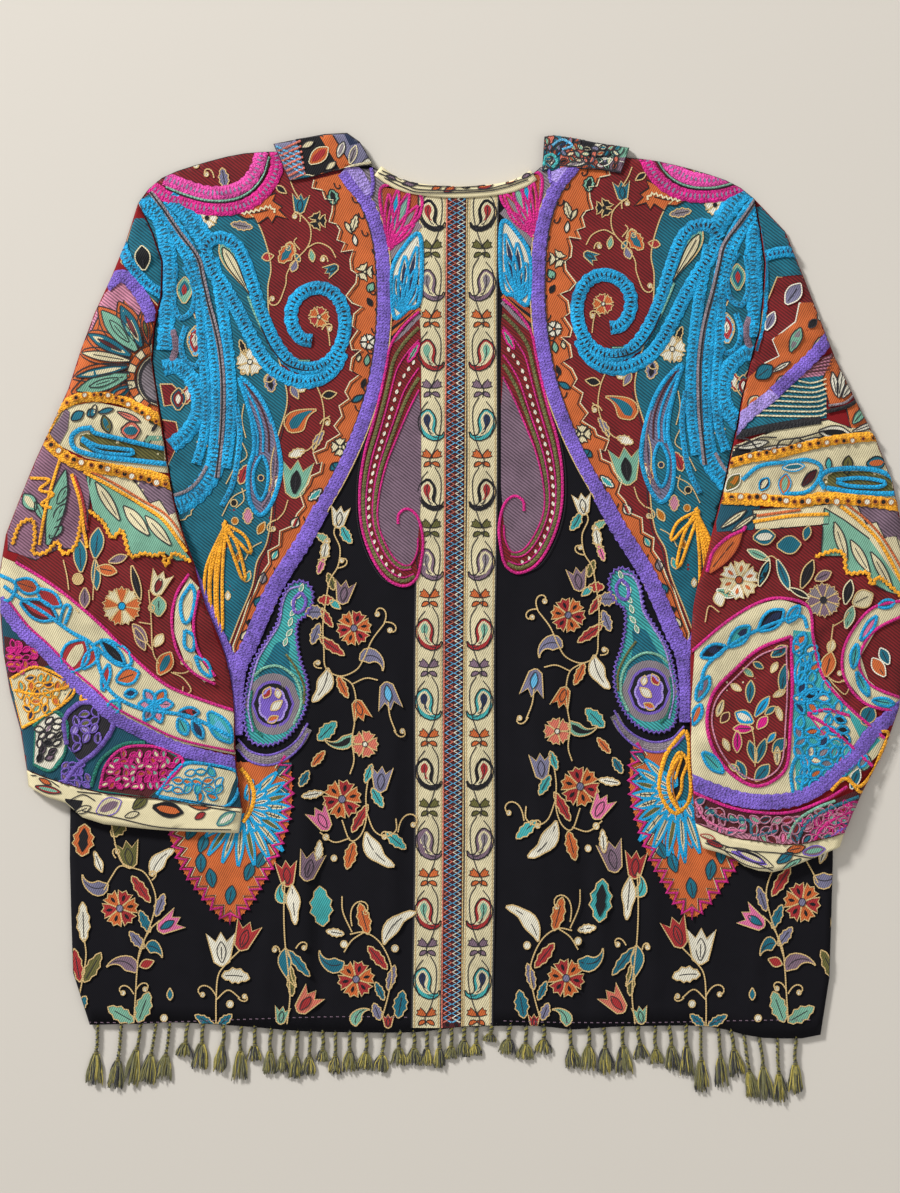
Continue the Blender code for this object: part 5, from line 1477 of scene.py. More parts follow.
RIGHT_GROUNDS = (
    ("crimson", None, ((700, 560), (716, 528), (820, 518), (844, 556), (866, 572), (908, 598), (874, 607),
        (854, 627), (842, 652), (844, 679), (866, 704), (884, 742), (847, 710), (822, 680), (812, 642),
        (807, 610), (779, 601), (754, 607), (722, 627), (688, 656), (692, 600))),
    ("crimson", None, ((908, 612), (876, 629), (861, 649), (859, 668), (872, 686), (908, 702))),
    ("crimson", None, ((776, 279), (812, 274), (824, 302), (799, 303), (795, 322), (772, 340), (779, 356),
        (765, 363), (734, 390), (742, 346), (757, 316))),
    ("teal", "beige", ((740, 206), (796, 206), (812, 274), (777, 277), (763, 312), (744, 330))),
    ("orange", "pale", ((799, 303), (824, 302), (840, 330), (831, 340), (741, 424), (734, 390), (765, 363),
        (779, 356), (772, 340), (795, 322))),
    ("rose", None, ((834, 352), (806, 370), (794, 380), (826, 376), (832, 358))),
    ("teal", None, ((794, 379), (826, 375), (826, 418), (738, 434), (762, 404))),
    ("orange", "soot", ((832, 356), (846, 352), (862, 380), (856, 396), (830, 408), (822, 380))),
    ("orange", "soot", ((846, 408), (866, 396), (880, 430), (850, 428))),
    ("cream", "soot", ((728, 448), (770, 432), (826, 420), (850, 428), (884, 430), (886, 446), (728, 466))),
    ("cream", None, ((720, 466), (777, 458), (831, 446), (888, 440), (908, 500), (859, 496), (799, 500),
        (716, 494))),
    ("olive", None, ((825, 488), (823, 479), (834, 472), (866, 471), (890, 478), (898, 491), (860, 492))),
    ("black", None, ((724, 460), (730, 450), (742, 446), (752, 451), (740, 458))),
    ("deep teal", None, ((714, 502), (760, 506), (752, 530), (716, 532))),
    ("cream", "soot", ((752, 510), (830, 504), (828, 524), (754, 530))),
    ("cream", None, ((822, 500), (912, 510), (912, 612), (870, 560), (840, 530))),
    ("mauve", "soot", ((856, 504), (912, 512), (912, 560), (896, 536), (884, 538), (876, 522), (866, 524))),
    ("seafoam", "soot", ((824, 508), (844, 520), (868, 538), (912, 600), (884, 590), (872, 584), (866, 574),
        (847, 574), (844, 556), (820, 556))),
    ("cream", None, ((694, 650), (722, 625), (754, 605), (779, 599), (808, 608), (814, 640), (824, 678),
        (849, 707), (890, 742), (862, 770), (822, 792), (772, 803), (710, 790), (686, 778))),
    ("cream", None, ((906, 597), (874, 607), (854, 627), (842, 652), (844, 679), (866, 704), (906, 714),
        (906, 700), (884, 694), (868, 680), (860, 656), (876, 630), (906, 612))),
    ("aqua", None, ((792, 630), (812, 632), (824, 682), (850, 712), (880, 740), (846, 776), (796, 796),
        (790, 700))),
    ("crimson", None, ((788, 636), (759, 648), (735, 668), (713, 692), (706, 719), (711, 746), (728, 771),
        (752, 785), (772, 780), (786, 764), (789, 726), (791, 690), (791, 660))),
    ("cream", "magenta", ((807, 714), (826, 710), (848, 716), (872, 764), (852, 752), (826, 738))),
    ("wine", None, ((686, 788), (735, 806), (784, 812), (830, 800), (880, 780), (866, 830), (842, 845),
        (794, 852), (735, 842), (694, 826))),
    ("rose", None, ((696, 822), (738, 832), (790, 836), (792, 852), (735, 844), (694, 832))),
)
RIGHT_BANDS = (
    ("ladder", 12, "blue", ((748, 214), (757, 240), (762, 275), (760, 318), (752, 350))),
    ("ladder", 11, "blue", ((764, 256), (784, 252), (808, 254))),
    ("chain", 13, "purple", ((836, 330), (813, 356), (791, 377), (774, 393))),
    ("chain", 13, "lilac", ((774, 393), (770, 397), (747, 415), (730, 434))),
    ("rings", 10, "yellow", ((722, 466), (750, 458), (777, 454), (804, 447), (831, 441), (854, 438),
        (884, 436))),
    ("rings", 12, "yellow", ((712, 498), (759, 500), (799, 502), (822, 498), (859, 500), (908, 507))),
    ("cord", 5, "blue", ((824, 489), (820, 478), (832, 470), (866, 469), (890, 476), (900, 492), (860, 493),
        (826, 488))),
    ("cord", 4, "blue", ((836, 480), (860, 478), (884, 482), (878, 487), (850, 486), (836, 482))),
    ("cord", 1.6, "soot", ((732, 438), (748, 440), (758, 449), (774, 450), (780, 441), (800, 438),
        (824, 431))),
    ("cord", 1.4, "soot", ((728, 446), (744, 445), (760, 438), (776, 438))),
    ("cord", 1.4, "soot", ((788, 446), (796, 438), (808, 444), (822, 436))),
    ("cord", 4, "blue", ((742, 480), (760, 466), (790, 462), (806, 460), (820, 466), (818, 480), (806, 492),
        (784, 494))),
    ("cord", 2.4, "grey", ((828, 406), (846, 402), (860, 388))),
    ("cord", 4, "black", ((826, 412), (848, 406), (862, 396))),
    ("cord", 3.4, "yellow", ((752, 522), (790, 516), (828, 514))),
    ("cord", 2.6, "orange", ((756, 516), (784, 512), (800, 510))),
    ("cord", 3.4, "yellow", ((840, 506), (862, 524), (880, 544), (906, 590))),
    ("cord", 2.4, "orange", ((846, 504), (868, 522), (886, 544), (908, 580))),
    ("teeth", 3.6, "yellow", ((814, 556), (834, 550), (844, 555), (847, 572), (866, 572), (871, 584),
        (879, 577), (906, 600))),
    ("cord", 3.4, "magenta", ((706, 572), (712, 552), (726, 538), (742, 530), (744, 526))),
    ("cord", 3, "magenta", ((690, 652), (722, 624), (754, 604), (779, 598), (807, 607), (812, 639),
        (822, 677), (847, 706), (884, 738))),
    ("cord", 3, "magenta", ((906, 600), (874, 607), (854, 627), (842, 652), (844, 679), (866, 704),
        (906, 713))),
    ("cord", 3, "magenta", ((906, 614), (876, 629), (861, 649), (859, 668), (872, 686), (906, 700))),
    ("cord", 3.4, "magenta", ((790, 636), (759, 648), (735, 668), (713, 692), (706, 719), (711, 746),
        (728, 771), (752, 785), (772, 780), (786, 764), (789, 726), (791, 690), (790, 636))),
    ("cord", 1.6, "rose", ((785, 646), (759, 655), (738, 674), (717, 697), (711, 719), (716, 743),
        (731, 766), (752, 779), (769, 775), (781, 760), (784, 726), (786, 690), (785, 646))),
    ("chain", 15, "purple", ((684, 778), (710, 789), (742, 799), (772, 801), (797, 797), (819, 786),
        (839, 769), (856, 753), (873, 731), (906, 704))),
    ("cord", 3, "magenta", ((688, 790), (735, 808), (784, 812), (822, 800), (846, 786))),
    ("cord", 3.4, "magenta", ((806, 714), (824, 724), (848, 744), (872, 766))),
    ("cord", 2.8, "magenta", ((806, 713), (826, 709), (848, 715))),
    ("cord", 3.6, "yellow", ((830, 790), (843, 778), (858, 786), (872, 772), (880, 754), (888, 734),
        (880, 730))),
    ("cord", 3.4, "yellow", ((846, 776), (862, 792), (880, 768))),
    ("cord", 3.8, "blue", ((700, 690), (704, 668), (722, 650), (748, 634), (776, 622), (800, 616),
        (806, 628))),
    ("cord", 3.8, "blue", ((792, 792), (790, 772), (796, 756), (804, 762), (800, 790))),
    ("cord", 3.6, "teal", ((796, 840), (806, 822), (828, 808), (858, 796))),
    ("cord", 3, "seafoam", ((786, 838), (796, 820), (814, 808), (834, 800))),
    ("cord", 3, "magenta", ((812, 842), (822, 826), (842, 814), (862, 810))),
    ("cord", 3, "purple", ((824, 842), (838, 830), (856, 824))),
    ("cord", 3, "teal", ((704, 806), (722, 818), (748, 820), (752, 834), (776, 830))),
    ("cord", 2.6, "pink", ((694, 800), (704, 818), (724, 828), (744, 830))),
)
RIGHT_BLADES = (
    (786, 304, 800, 284, 15, "dusk", "pale"), (766, 330, 774, 312, 9, "dusk", "pale"),
    (790, 352, 800, 328, 11, "seafoam", "soot", "grey"), (808, 328, 816, 320, 7, "black", "soot"),
    (812, 350, 826, 336, 8, "cream", "soot"), (818, 320, 824, 312, 8, "pale", "soot"),
    (756, 378, 772, 366, 15, "teal", "black"), (776, 382, 788, 378, 8, "pale", "soot"),
    (772, 372, 790, 362, 5, "pale", "soot"), (748, 406, 758, 396, 9, "cream", "soot", "orange"),
    (836, 396, 832, 372, 7, "pale", "soot"), (838, 398, 844, 366, 8, "pale", "soot"),
    (842, 398, 856, 378, 8, "pale", "soot"), (852, 424, 866, 408, 9, "seafoam", "soot"),
    (852, 432, 878, 422, 6, "pale", "soot"), (818, 432, 850, 434, 14, "pale", "soot", "black"),
    (738, 448, 768, 442, 8, "pale", "soot"), (746, 456, 790, 446, 8, "pale", "soot", "grey"),
    (786, 450, 826, 438, 8, "pale", "soot"), (846, 474, 848, 456, 10, "olive", "black"),
    (866, 464, 886, 462, 13, "teal", "black", "orange"), (726, 490, 740, 474, 12, "olive", "pale", "amber"),
    (760, 490, 768, 478, 10, "ink", "blue", "cream"), (783, 494, 786, 474, 12, "orange", "blue", "seafoam"),
    (782, 468, 804, 466, 9, "pale", "blue", "teal"), (802, 486, 816, 470, 8, "wine", "soot"),
    (828, 458, 828, 470, 6, "aqua", "soot"), (720, 528, 746, 510, 6, "cream", "soot"),
    (730, 532, 756, 514, 5, "cream", "soot"), (846, 560, 834, 522, 10, "cream", "soot"),
    (868, 572, 850, 540, 10, "cream", "soot"), (892, 590, 870, 552, 9, "cream", "soot"),
    (708, 572, 740, 532, 15, "orange", "rust"), (752, 538, 774, 536, 16, "teal", "beige", "pale"),
    (776, 546, 800, 544, 18, "teal"), (804, 540, 808, 526, 8, "teal"),
    (758, 586, 768, 560, 9, "black", "cream", "teal"), (768, 560, 746, 550, 8, "seafoam", "cream"),
    (776, 560, 788, 590, 9, "teal", "cream"), (788, 588, 808, 598, 6, "black", "cream"),
    (800, 588, 812, 560, 11, "black"), (814, 580, 830, 572, 10, "mauve"),
    (844, 604, 850, 580, 10, "black", "cream"), (852, 604, 872, 594, 18, "cream"),
    (845, 628, 852, 606, 10, "seafoam", "cream"), (828, 652, 832, 640, 8, "cream"),
    (824, 676, 830, 652, 14, "orange"), (862, 724, 872, 706, 16, "teal"), (720, 606, 716, 592, 11, "pale"),
    (716, 590, 734, 596, 9, "seafoam", "pale"), (770, 656, 786, 646, 10, "teal"),
    (780, 692, 784, 664, 10, "teal"), (748, 702, 750, 680, 9, "teal"), (772, 696, 784, 690, 6, "cream"),
    (752, 722, 734, 712, 14, "blue", "beige", "pale"), (754, 716, 768, 696, 9, "blue"),
    (752, 728, 732, 728, 9, "magenta"), (756, 728, 766, 716, 9, "magenta"),
    (736, 730, 736, 752, 9, "magenta"), (754, 762, 748, 740, 9, "teal"), (756, 762, 764, 738, 9, "teal"),
    (772, 752, 784, 738, 12, "teal"), (744, 778, 736, 760, 10, "teal"), (754, 780, 768, 764, 12, "teal"),
    (720, 722, 728, 712, 8, "wine"), (776, 764, 776, 746, 6, "cream"),
    (884, 676, 872, 658, 12, "orange", "pale"), (888, 664, 880, 648, 10, "teal", "pale"),
    (862, 770, 868, 756, 11, "seafoam", "soot"), (850, 788, 858, 768, 10, "teal", "pale"),
)
RIGHT_BLUE_BLADES = (
    (700, 656, 724, 646, 13, "ink", "black"), (728, 646, 748, 626, 15, "aqua", "ink"),
    (758, 630, 782, 610, 17, "black", "ink"), (786, 622, 798, 606, 10, "cream", "blue"),
    (696, 700, 708, 676, 11, "aqua", "mauve"), (692, 724, 700, 704, 9, "blue", "orange"),
    (702, 752, 722, 772, 12, "aqua"), (792, 652, 804, 634, 11, "cream", "orange"),
    (796, 684, 802, 656, 10, "cream", "teal"), (798, 700, 820, 690, 11, "ink", "black"),
    (860, 640, 876, 616, 8, "mauve", "pink"), (852, 668, 856, 644, 9, "aqua"),
    (856, 672, 868, 696, 8, "aqua"), (872, 700, 894, 704, 8, "aqua"), (878, 606, 894, 602, 8, "teal"),
)
RIGHT_LEAFLETS = (
    (722, 700, 716, 716, "cream"), (728, 750, 722, 738, "cream"), (770, 672, 776, 662, "cream"),
    (762, 668, 752, 662, "teal"), (740, 690, 730, 684, "cream"), (766, 742, 774, 732, "blue"),
    (728, 764, 738, 770, "seafoam"), (764, 714, 774, 706, "teal"), (780, 720, 776, 706, "cream"),
    (742, 668, 752, 676, "seafoam"),
)
RIGHT_STEMS = (
    ((750, 726), (753, 740), (754, 766)),
    ((762, 560), (770, 556), (776, 560)),
    ((832, 624), (830, 640), (828, 652)),
    ((848, 612), (842, 620), (832, 626)),
    ((826, 676), (834, 686), (844, 694), (848, 684), (840, 680)),
    ((704, 622), (708, 606), (718, 612)),
)


def sleeve_pattern(work, grounds, bands, blades, blue_blades, stems):
    """Lay out a sleeve's woven grounds, its motifs and the chain stitch over them."""
    for dye, edge, outline in grounds:
        finish = "weave" if dye in ("teal", "mauve", "rose", "crimson", "olive", "plum") else "satin"
        work.field(outline, dye, finish, edge=edge)
    for stem in stems:
        work.line(stem)
    for blade in blades:
        work.toward(*blade)
    for blade in blue_blades:
        work.toward(*blade[:6], "blue", *blade[6:], lift=0.45, thick=3.0, raised=0.7)
    for kind, width, dye, points in bands:
        if kind == "rings":
            work.ringed(points, width)
        elif kind == "teeth":
            work.band(serrate(points, 1.6, 5), width, dye, "narrow_chain", 0.7, 0.7, 2)
        elif kind == "cord":
            work.cord(points, width, dye, 0.6, 0.25 * width ** 0.8)
        else:
            work.stitched(points, width, dye, kind, "ink", 0.55, 1.1)


# Petals of the left sleeve's half sunflower: c, r, to c, to r, width, dye, heart, core
SUNFLOWER = (
    (130, 361, 82, 353, 9, "cream", None, None), (128, 367, 76, 377, 9, "teal", "cream", None),
    (132, 386, 108, 399, 10, "teal", None, "orange"), (149, 344, 143, 314, 8, "rust", None, "olive"),
    (137, 351, 102, 311, 18, "seafoam", None, "seafoam"),
    (130, 375, 77, 391, 16, "seafoam", None, "seafoam"),
    (131, 356, 88, 334, 13, "teal", "cream", "crimson"), (142, 347, 121, 306, 14, "teal", "cream", "red"),
)


def half_sunflower(work):
    """Layered petals, a ring of cream and orange blocks, and the half disc in it."""
    for c, r, tip_c, tip_r, width, dye, heart, core in SUNFLOWER:
        far_c, far_r = tip_c + (tip_c - c) * 0.1, tip_r + (tip_r - r) * 0.1
        work.toward(c, r, far_c, far_r, width + 7, "orange", "soot", None, lift=0.15)
        work.toward(c, r, tip_c, tip_r, width, dye, "soot", heart, lift=0.7, thick=1.1)
        if core:
            ends = [(c + (tip_c - c) * share, r + (tip_r - r) * share) for share in (0.22, 0.76)]
            core_width = width * (0.26 if heart else 0.42)
            work.toward(*ends[0], *ends[1], core_width, core, "soot", lift=1.1, thick=1.0)
    for dye, finish, c_reach, r_reach, thick in (("cream", "satin", 24, 26, 1.2),
                                                 ("grey", "weave", 21, 23, 3.2)):
        disc = [(161 + c_reach * math.cos(k * math.pi / 16), 380 + r_reach * math.sin(k * math.pi / 16))
                for k in range(32)]
        work.field(disc, dye, finish, 0.5, "soot", thick)
    for k in range(10):
        angle = 100 + 15.5 * k
        dc, dr = heading(angle)
        work.patch(160 + dc * 25, 378 + dr * 26, angle, BLOCK, 7.6, 7.6, ("cream", "orange")[k % 2],
                   "soot", 0.6)


# Places filled with small stitched leaves, in columns outline, pitch, dyes, edge, seed
SCATTERS = {
    "left": (
        (((8, 640), (28, 644), (48, 662), (30, 668), (8, 676)), 8, ("magenta", "orange", "wine"), "magenta",
            5),
        (((16, 684), (40, 674), (70, 687), (58, 702), (26, 722)), 9, ("orange", "seafoam", "ink", "cream"),
            "yellow", 6),
        (((38, 726), (54, 716), (64, 724), (62, 750), (50, 764), (38, 760)), 9, ("pale", "black", "mauve"),
            "soot", 7),
        (((72, 720), (86, 708), (104, 712), (108, 726), (96, 744), (76, 748)), 10,
            ("olive", "soot", "lilac"), "purple", 8),
        (((100, 790), (108, 766), (126, 750), (160, 750), (182, 761), (166, 786)), 7.5,
            ("magenta", "rust", "cream", "seafoam"), "magenta", 9),
        (((166, 790), (178, 774), (196, 767), (230, 775), (220, 800)), 10, ("cream", "aqua", "orange"),
            "blue", 10),
        (((62, 764), (80, 760), (96, 776), (84, 792), (62, 786)), 8, ("purple", "mauve", "ink"), "purple",
            11),
    ),
    "right": (
        (((796, 632), (810, 634), (820, 680), (846, 712), (806, 712), (794, 704)), 12,
            ("cream", "aqua", "orange", "ink", "seafoam"), "blue", 12),
        (((794, 716), (812, 724), (846, 744), (866, 762), (842, 774), (800, 790)), 12,
            ("cream", "aqua", "orange", "ink", "grey"), "blue", 13),
        (((814, 716), (830, 714), (844, 720), (862, 752), (840, 740)), 11, ("cream", "black", "aqua"),
            "blue", 14),
        (((690, 796), (735, 812), (784, 818), (850, 804), (862, 826), (842, 840), (794, 846), (735, 836),
            (700, 824)), 11, ("pink", "teal", "wine", "crimson", "rose", "seafoam"), "rose", 15),
        (((800, 820), (850, 800), (868, 800), (856, 834), (830, 842)), 10,
            ("magenta", "teal", "pink", "mauve"), "magenta", 16),
    ),
}


def build_sleeves():
    crimson = plain_cloth("crimson_shawl_cloth", "crimson")
    for side, grounds, bands, blades, blue_blades, stems in (
            ("left", LEFT_GROUNDS, LEFT_BANDS, LEFT_BLADES, LEFT_BLUE_BLADES, LEFT_STEMS),
            ("right", RIGHT_GROUNDS, RIGHT_BANDS, RIGHT_BLADES, RIGHT_BLUE_BLADES, RIGHT_STEMS)):
        node = "sleeve_" + side
        shell = cloth_shell(node, 2, SLEEVE_CREASES[side], crimson, 0.35)
        work = Work()
        sleeve_pattern(work, grounds, bands, blades, blue_blades, stems)
        if side == "left":
            half_sunflower(work)
            work.flower(123, 606, 19, 9, "orange", "blue", second="cream", turn=10, stamen=None)
            work.berry(79, 579, 11, "beige")
            work.tulip(156, 595, 70, 25, "cream", "beige", "crimson")
            work.curl(174, 672, -10, 34, 1)
            for outline, pitch, dyes, edge, seed in SCATTERS[side]:
                work.scatter(outline, pitch, dyes, edge, seed)
        else:
            for k in range(8):
                offset = k * 4.9
                work.cord(((798 - k * 8, 381 + offset), (812, 383 + offset * 0.98),
                           (826, 379 + offset)), 1.6, "cream", 0.4, 0.1)
            for k in range(5):
                work.cord(((812 - k * 4, 362 + k * 3), (834 - k, 354 + k * 4)), 1.3, "wine", 0.4, 0.1)
            work.cord(((734, 436), (770, 428), (820, 420)), 8, "black", 0.4, 0.2)
            work.flower(738, 580, 19, 6, "pale", "rust", second="cream", turn=20, stamen="orange")
            work.flower(822, 600, 17, 8, "mauve", "soot", second="grey", turn=5, stamen=None)
            work.curl(826, 676, -40, 30, 1)
            for outline, pitch, dyes, edge, seed in SCATTERS[side]:
                work.scatter(outline, pitch, dyes, edge, seed, 2.6 if edge == "blue" else 1.4, 0.6)
            for c, r, tip_c, tip_r, dye in RIGHT_LEAFLETS:
                work.toward(c, r, tip_c, tip_r, 6, dye)
        pattern = lay(work, node + "_pattern", Cloth(shell, 0.005))


# Trim: border motifs on the cuffs, stripes of the collar ends, threads of the neck band
TRIM_GROUNDS = {
    "cuff_left": (
        ("black", None, ((66, 798), (84, 800), (80, 812), (66, 806))),
    ),
    "cuff_right": (),
    "collar_left": (
        ("dusk", "soot", ((272, 140), (300, 138), (308, 184), (284, 188))),
        ("black", "soot", ((296, 140), (322, 136), (350, 176), (308, 182))),
        ("orange", "black", ((318, 134), (330, 132), (352, 168), (344, 176))),
        ("dusk", "cream", ((332, 132), (360, 130), (384, 160), (372, 180), (352, 166))),
        ("ink", None, ((342, 130), (362, 128), (364, 142), (350, 146))),
    ),
    "collar_right": (
        ("teal", "cream", ((540, 134), (568, 134), (562, 176), (534, 178))),
        ("salmon", "soot", ((560, 146), (596, 150), (600, 176), (560, 174))),
        ("black", "pale", ((580, 136), (606, 138), (610, 158), (590, 160))),
        ("seafoam", "pale", ((608, 138), (632, 140), (628, 164), (612, 160))),
        ("mauve", None, ((604, 158), (630, 158), (626, 178), (604, 172))),
    ),
    "neck_band": (),
}
TRIM_BLADES = {
    "cuff_left": (
        (98, 812, 122, 800, 17, "cream", "purple", "mauve"), (134, 808, 148, 796, 10, "olive", "soot"),
        (154, 806, 184, 812, 15, "black", "soot", "orange"), (190, 804, 212, 806, 8, "orange", "soot"),
        (218, 824, 236, 812, 11, "seafoam", "teal", "pale"),
        (36, 786, 62, 792, 7, "red", "soot", "seafoam"), (76, 812, 92, 806, 7, "cream", "soot"),
        (196, 818, 206, 812, 6, "red", "soot"), (126, 816, 140, 812, 6, "cream", "soot"),
        (40, 778, 52, 784, 5, "orange", "soot"),
    ),
    "cuff_right": (
        (724, 848, 772, 866, 15, "cream", "soot", "purple"),
        (736, 850, 764, 862, 8, "black", "soot", "cream"), (706, 840, 722, 846, 6, "red", "soot"),
        (776, 862, 792, 852, 9, "teal", "soot"), (786, 850, 804, 846, 9, "orange", "black"),
        (802, 852, 824, 848, 10, "mauve", "purple", "seafoam"), (700, 834, 714, 838, 5, "cream", "red"),
        (780, 872, 800, 858, 7, "seafoam", "soot"),
    ),
    "collar_left": (
        (310, 164, 328, 148, 14, "orange", "cream", "red"), (302, 148, 314, 142, 6, "cream", "soot"),
        (326, 170, 336, 162, 6, "cream", "soot"), (338, 158, 344, 142, 8, "pale", "soot", "grey"),
        (350, 164, 356, 146, 7, "grey", "cream"), (360, 168, 372, 158, 6, "pale", "soot"),
        (292, 182, 316, 178, 9, "teal", "cream", "ink"), (318, 178, 340, 172, 7, "orange", "soot"),
    ),
    "collar_right": (
        (544, 146, 554, 136, 8, "salmon", "soot"), (552, 158, 568, 140, 9, "blue", "soot", "ink"),
        (592, 152, 602, 142, 7, "pale", "soot"), (612, 156, 624, 146, 9, "seafoam", "soot"),
        (566, 166, 590, 160, 7, "pale", "soot", "grey"), (570, 152, 580, 142, 7, "orange", "soot"),
        (598, 166, 612, 160, 6, "dusk", "pale"), (544, 170, 556, 156, 6, "pale", "soot"),
    ),
    "neck_band": (
        (444, 192, 456, 186, 6, "red", "soot", "orange"), (432, 190, 442, 185, 5, "orange", "soot"),
        (402, 184, 418, 184, 5, "mauve", "soot"), (478, 188, 494, 182, 8, "red", "soot", "orange"),
        (386, 176, 396, 180, 4, "mauve", "soot"), (506, 184, 516, 178, 5, "orange", "soot"),
        (462, 188, 472, 186, 4, "black", None), (522, 178, 530, 174, 4, "mauve", "soot"),
    ),
}
TRIM_LINES = {
    "cuff_left": (
        ((78, 791), (120, 795), (170, 800), (243, 812)),
        ((31, 775), (44, 776), (60, 786)),
        ((83, 810), (118, 817), (165, 827), (232, 829)),
        ((70, 800), (84, 794), (96, 800)),
    ),
    "cuff_right": (
        ((697, 834), (735, 848), (784, 853), (832, 862)),
        ((704, 842), (740, 856), (772, 870)),
    ),
    "collar_left": (
        ((292, 184), (324, 178), (357, 171), (376, 170)),
        ((298, 180), (334, 173), (364, 165)),
    ),
    "collar_right": (
        ((552, 165), (591, 168), (620, 172)),
        ((540, 158), (552, 150), (566, 140)),
    ),
    "neck_band": (
        ((378, 173), (404, 184), (422, 190), (480, 190), (501, 186), (526, 178), (538, 170)),
        ((384, 178), (404, 188), (424, 193), (480, 192), (504, 188), (528, 180)),
        ((382, 171), (406, 181), (424, 186), (470, 186), (500, 181), (524, 173)),
    ),
}


def build_trim():
    cream = plain_cloth("cream_border_cloth", "cream")
    dark = plain_cloth("dark_collar_cloth", "soot", 1.3)
    for node, slot in (("cuff_left", "cream_border"), ("cuff_right", "cream_border"),
                       ("collar_left", "collar_cloth"), ("collar_right", "collar_cloth"),
                       ("neck_band", "cream_border")):
        shell = cloth_shell(node, 1, (), dark if "collar" in node else cream, 0.2)
        work = Work()
        for dye, edge, outline in TRIM_GROUNDS[node]:
            work.field(outline, dye, "satin", edge=edge)
        for blade in TRIM_BLADES[node]:
            work.toward(*blade, thick=1.0)
        for points in TRIM_LINES[node]:
            work.line(points, "soot", 1.1)
        if node == "collar_left":
            for k in range(8):
                for slope, dye in ((6, "sky"), (-6, "salmon")):
                    r = 142 + 5.4 * k
                    work.band([(274 + k, r - slope), (300 + k * 0.8, r + slope)], 2.2, dye, "narrow_chain",
                              0.6, 0.4, 2)
            work.cord(((300, 184), (330, 177), (352, 168), (374, 164)), 5.5, "cream", 0.6, 1.0)
            work.line(((302, 186), (330, 179), (352, 171), (374, 167)), "soot", 1.2, 1.5)
        if node == "collar_right":
            work.scatter(((540, 138), (622, 146), (618, 172), (562, 164), (538, 174)), 7.5,
                         ("teal", "salmon", "black", "cream", "seafoam", "dusk", "rust"), "soot", 21,
                         1.0, 0.0)
            work.cord(((544, 166), (545, 158), (552, 155), (557, 162), (552, 168)), 3.0, "aqua", 0.6, 0.4)
            work.cord(((552, 146), (562, 140), (572, 146), (562, 150)), 2.4, "sky", 0.6, 0.3)
        pattern = lay(work, node + "_pattern", Cloth(shell, 0.005))


# Tassels: root x, foot x, foot y in millimetres
TASSELS = (
    (-287, -291, -44), (-268, -274, -47), (-252, -262, -45), (-240, -249, -43), (-229, -236, -40),
    (-215, -219, -22), (-203, -206, -32), (-186, -190, -34), (-173, -174, -41), (-162, -162, -26),
    (-149, -150, -36), (-138, -140, -35), (-127, -130, -39), (-117, -119, -37), (-107, -108, -26),
    (-97, -98, -36), (-86, -86, -34), (-72, -74, -33), (-57, -62, -34), (-46, -47, -29), (-34, -35, -29),
    (-24, -24, -29), (-14, -14, -31), (-4, -5, -24), (6, 5, -22), (16, 15, -21), (28, 26, -10),
    (43, 40, -20), (56, 54, -24), (70, 69, -20), (90, 93, -31), (106, 105, -33), (118, 119, -36),
    (132, 134, -36), (144, 148, -24), (158, 160, -28), (170, 173, -33), (183, 185, -37), (195, 196, -50),
    (209, 213, -46), (219, 225, -38), (229, 237, -55), (242, 248, -57), (256, 259, -58), (271, 271, -52),
)
# The back's hem, x and y in millimetres from its middle
HEM = (
    (-294, 4), (-246, 5), (-226, 6), (-174, 3), (-126, -1), (-86, -2), (-34, -2), (0, 2), (31, 3), (66, 3),
    (94, 0), (117, 2), (149, 3), (197, 3), (224, -2), (238, -6), (275, -7), (291, -4),
)
TAPE_START = -0.289       # the tape behind the hem: its left end, its length and its sections
TAPE_LENGTH = 0.564
TAPE_STEPS = 95
TWIST = 0.0042            # length of one turn of a tassel's cord, in metres
YARN_LOW = 0.0011         # height of the lowest yarns' middle, in metres
SIDES_OF_YARN = 5
# The straw yarns stand in for the silk's highlights: a painted highlight.
YARN_DYES = ("moss", "olive", "black", "olive", "straw_highlight", "black", "olive")


class Yarns:
    """Round yarns that are kept as one mesh."""

    def __init__(self):
        self.spots, self.faces, self.dyes, self.map = [], [], [], []

    def yarn(self, points, thick, dye, tip=1.0):
        """A round yarn through points in metres, getting thinner towards its tip."""
        start, reach, last = len(self.spots), 0.0, len(points) - 1
        for k, point in enumerate(points):
            along = (points[min(k + 1, last)] - points[max(k - 1, 0)]).normalized()
            side = along.cross(Vector((0, 0, 1)))
            side = side.normalized() if side.length > 0.01 else Vector((1, 0, 0))
            up = side.cross(along)
            reach += (point - points[k - 1]).length * 1000 if k else 0.0
            radius = thick / 2 * (1 + (tip - 1) * k / last)
            for j in range(SIDES_OF_YARN):
                turn = 2 * math.pi * j / SIDES_OF_YARN
                self.spots.append(point + (side * math.cos(turn) + up * math.sin(turn)) * radius)
                self.dyes.append(dye)
                self.map.append((reach, 2.0 * j / SIDES_OF_YARN - 1.0))
        for k in range(last):
            for j in range(SIDES_OF_YARN):
                a, b = start + k * SIDES_OF_YARN + j, start + k * SIDES_OF_YARN + (j + 1) % SIDES_OF_YARN
                self.faces.append((a, b, b + SIDES_OF_YARN, a + SIDES_OF_YARN))
        self.faces.append(tuple(start + j for j in reversed(range(SIDES_OF_YARN))))
        self.faces.append(tuple(start + last * SIDES_OF_YARN + j for j in range(SIDES_OF_YARN)))


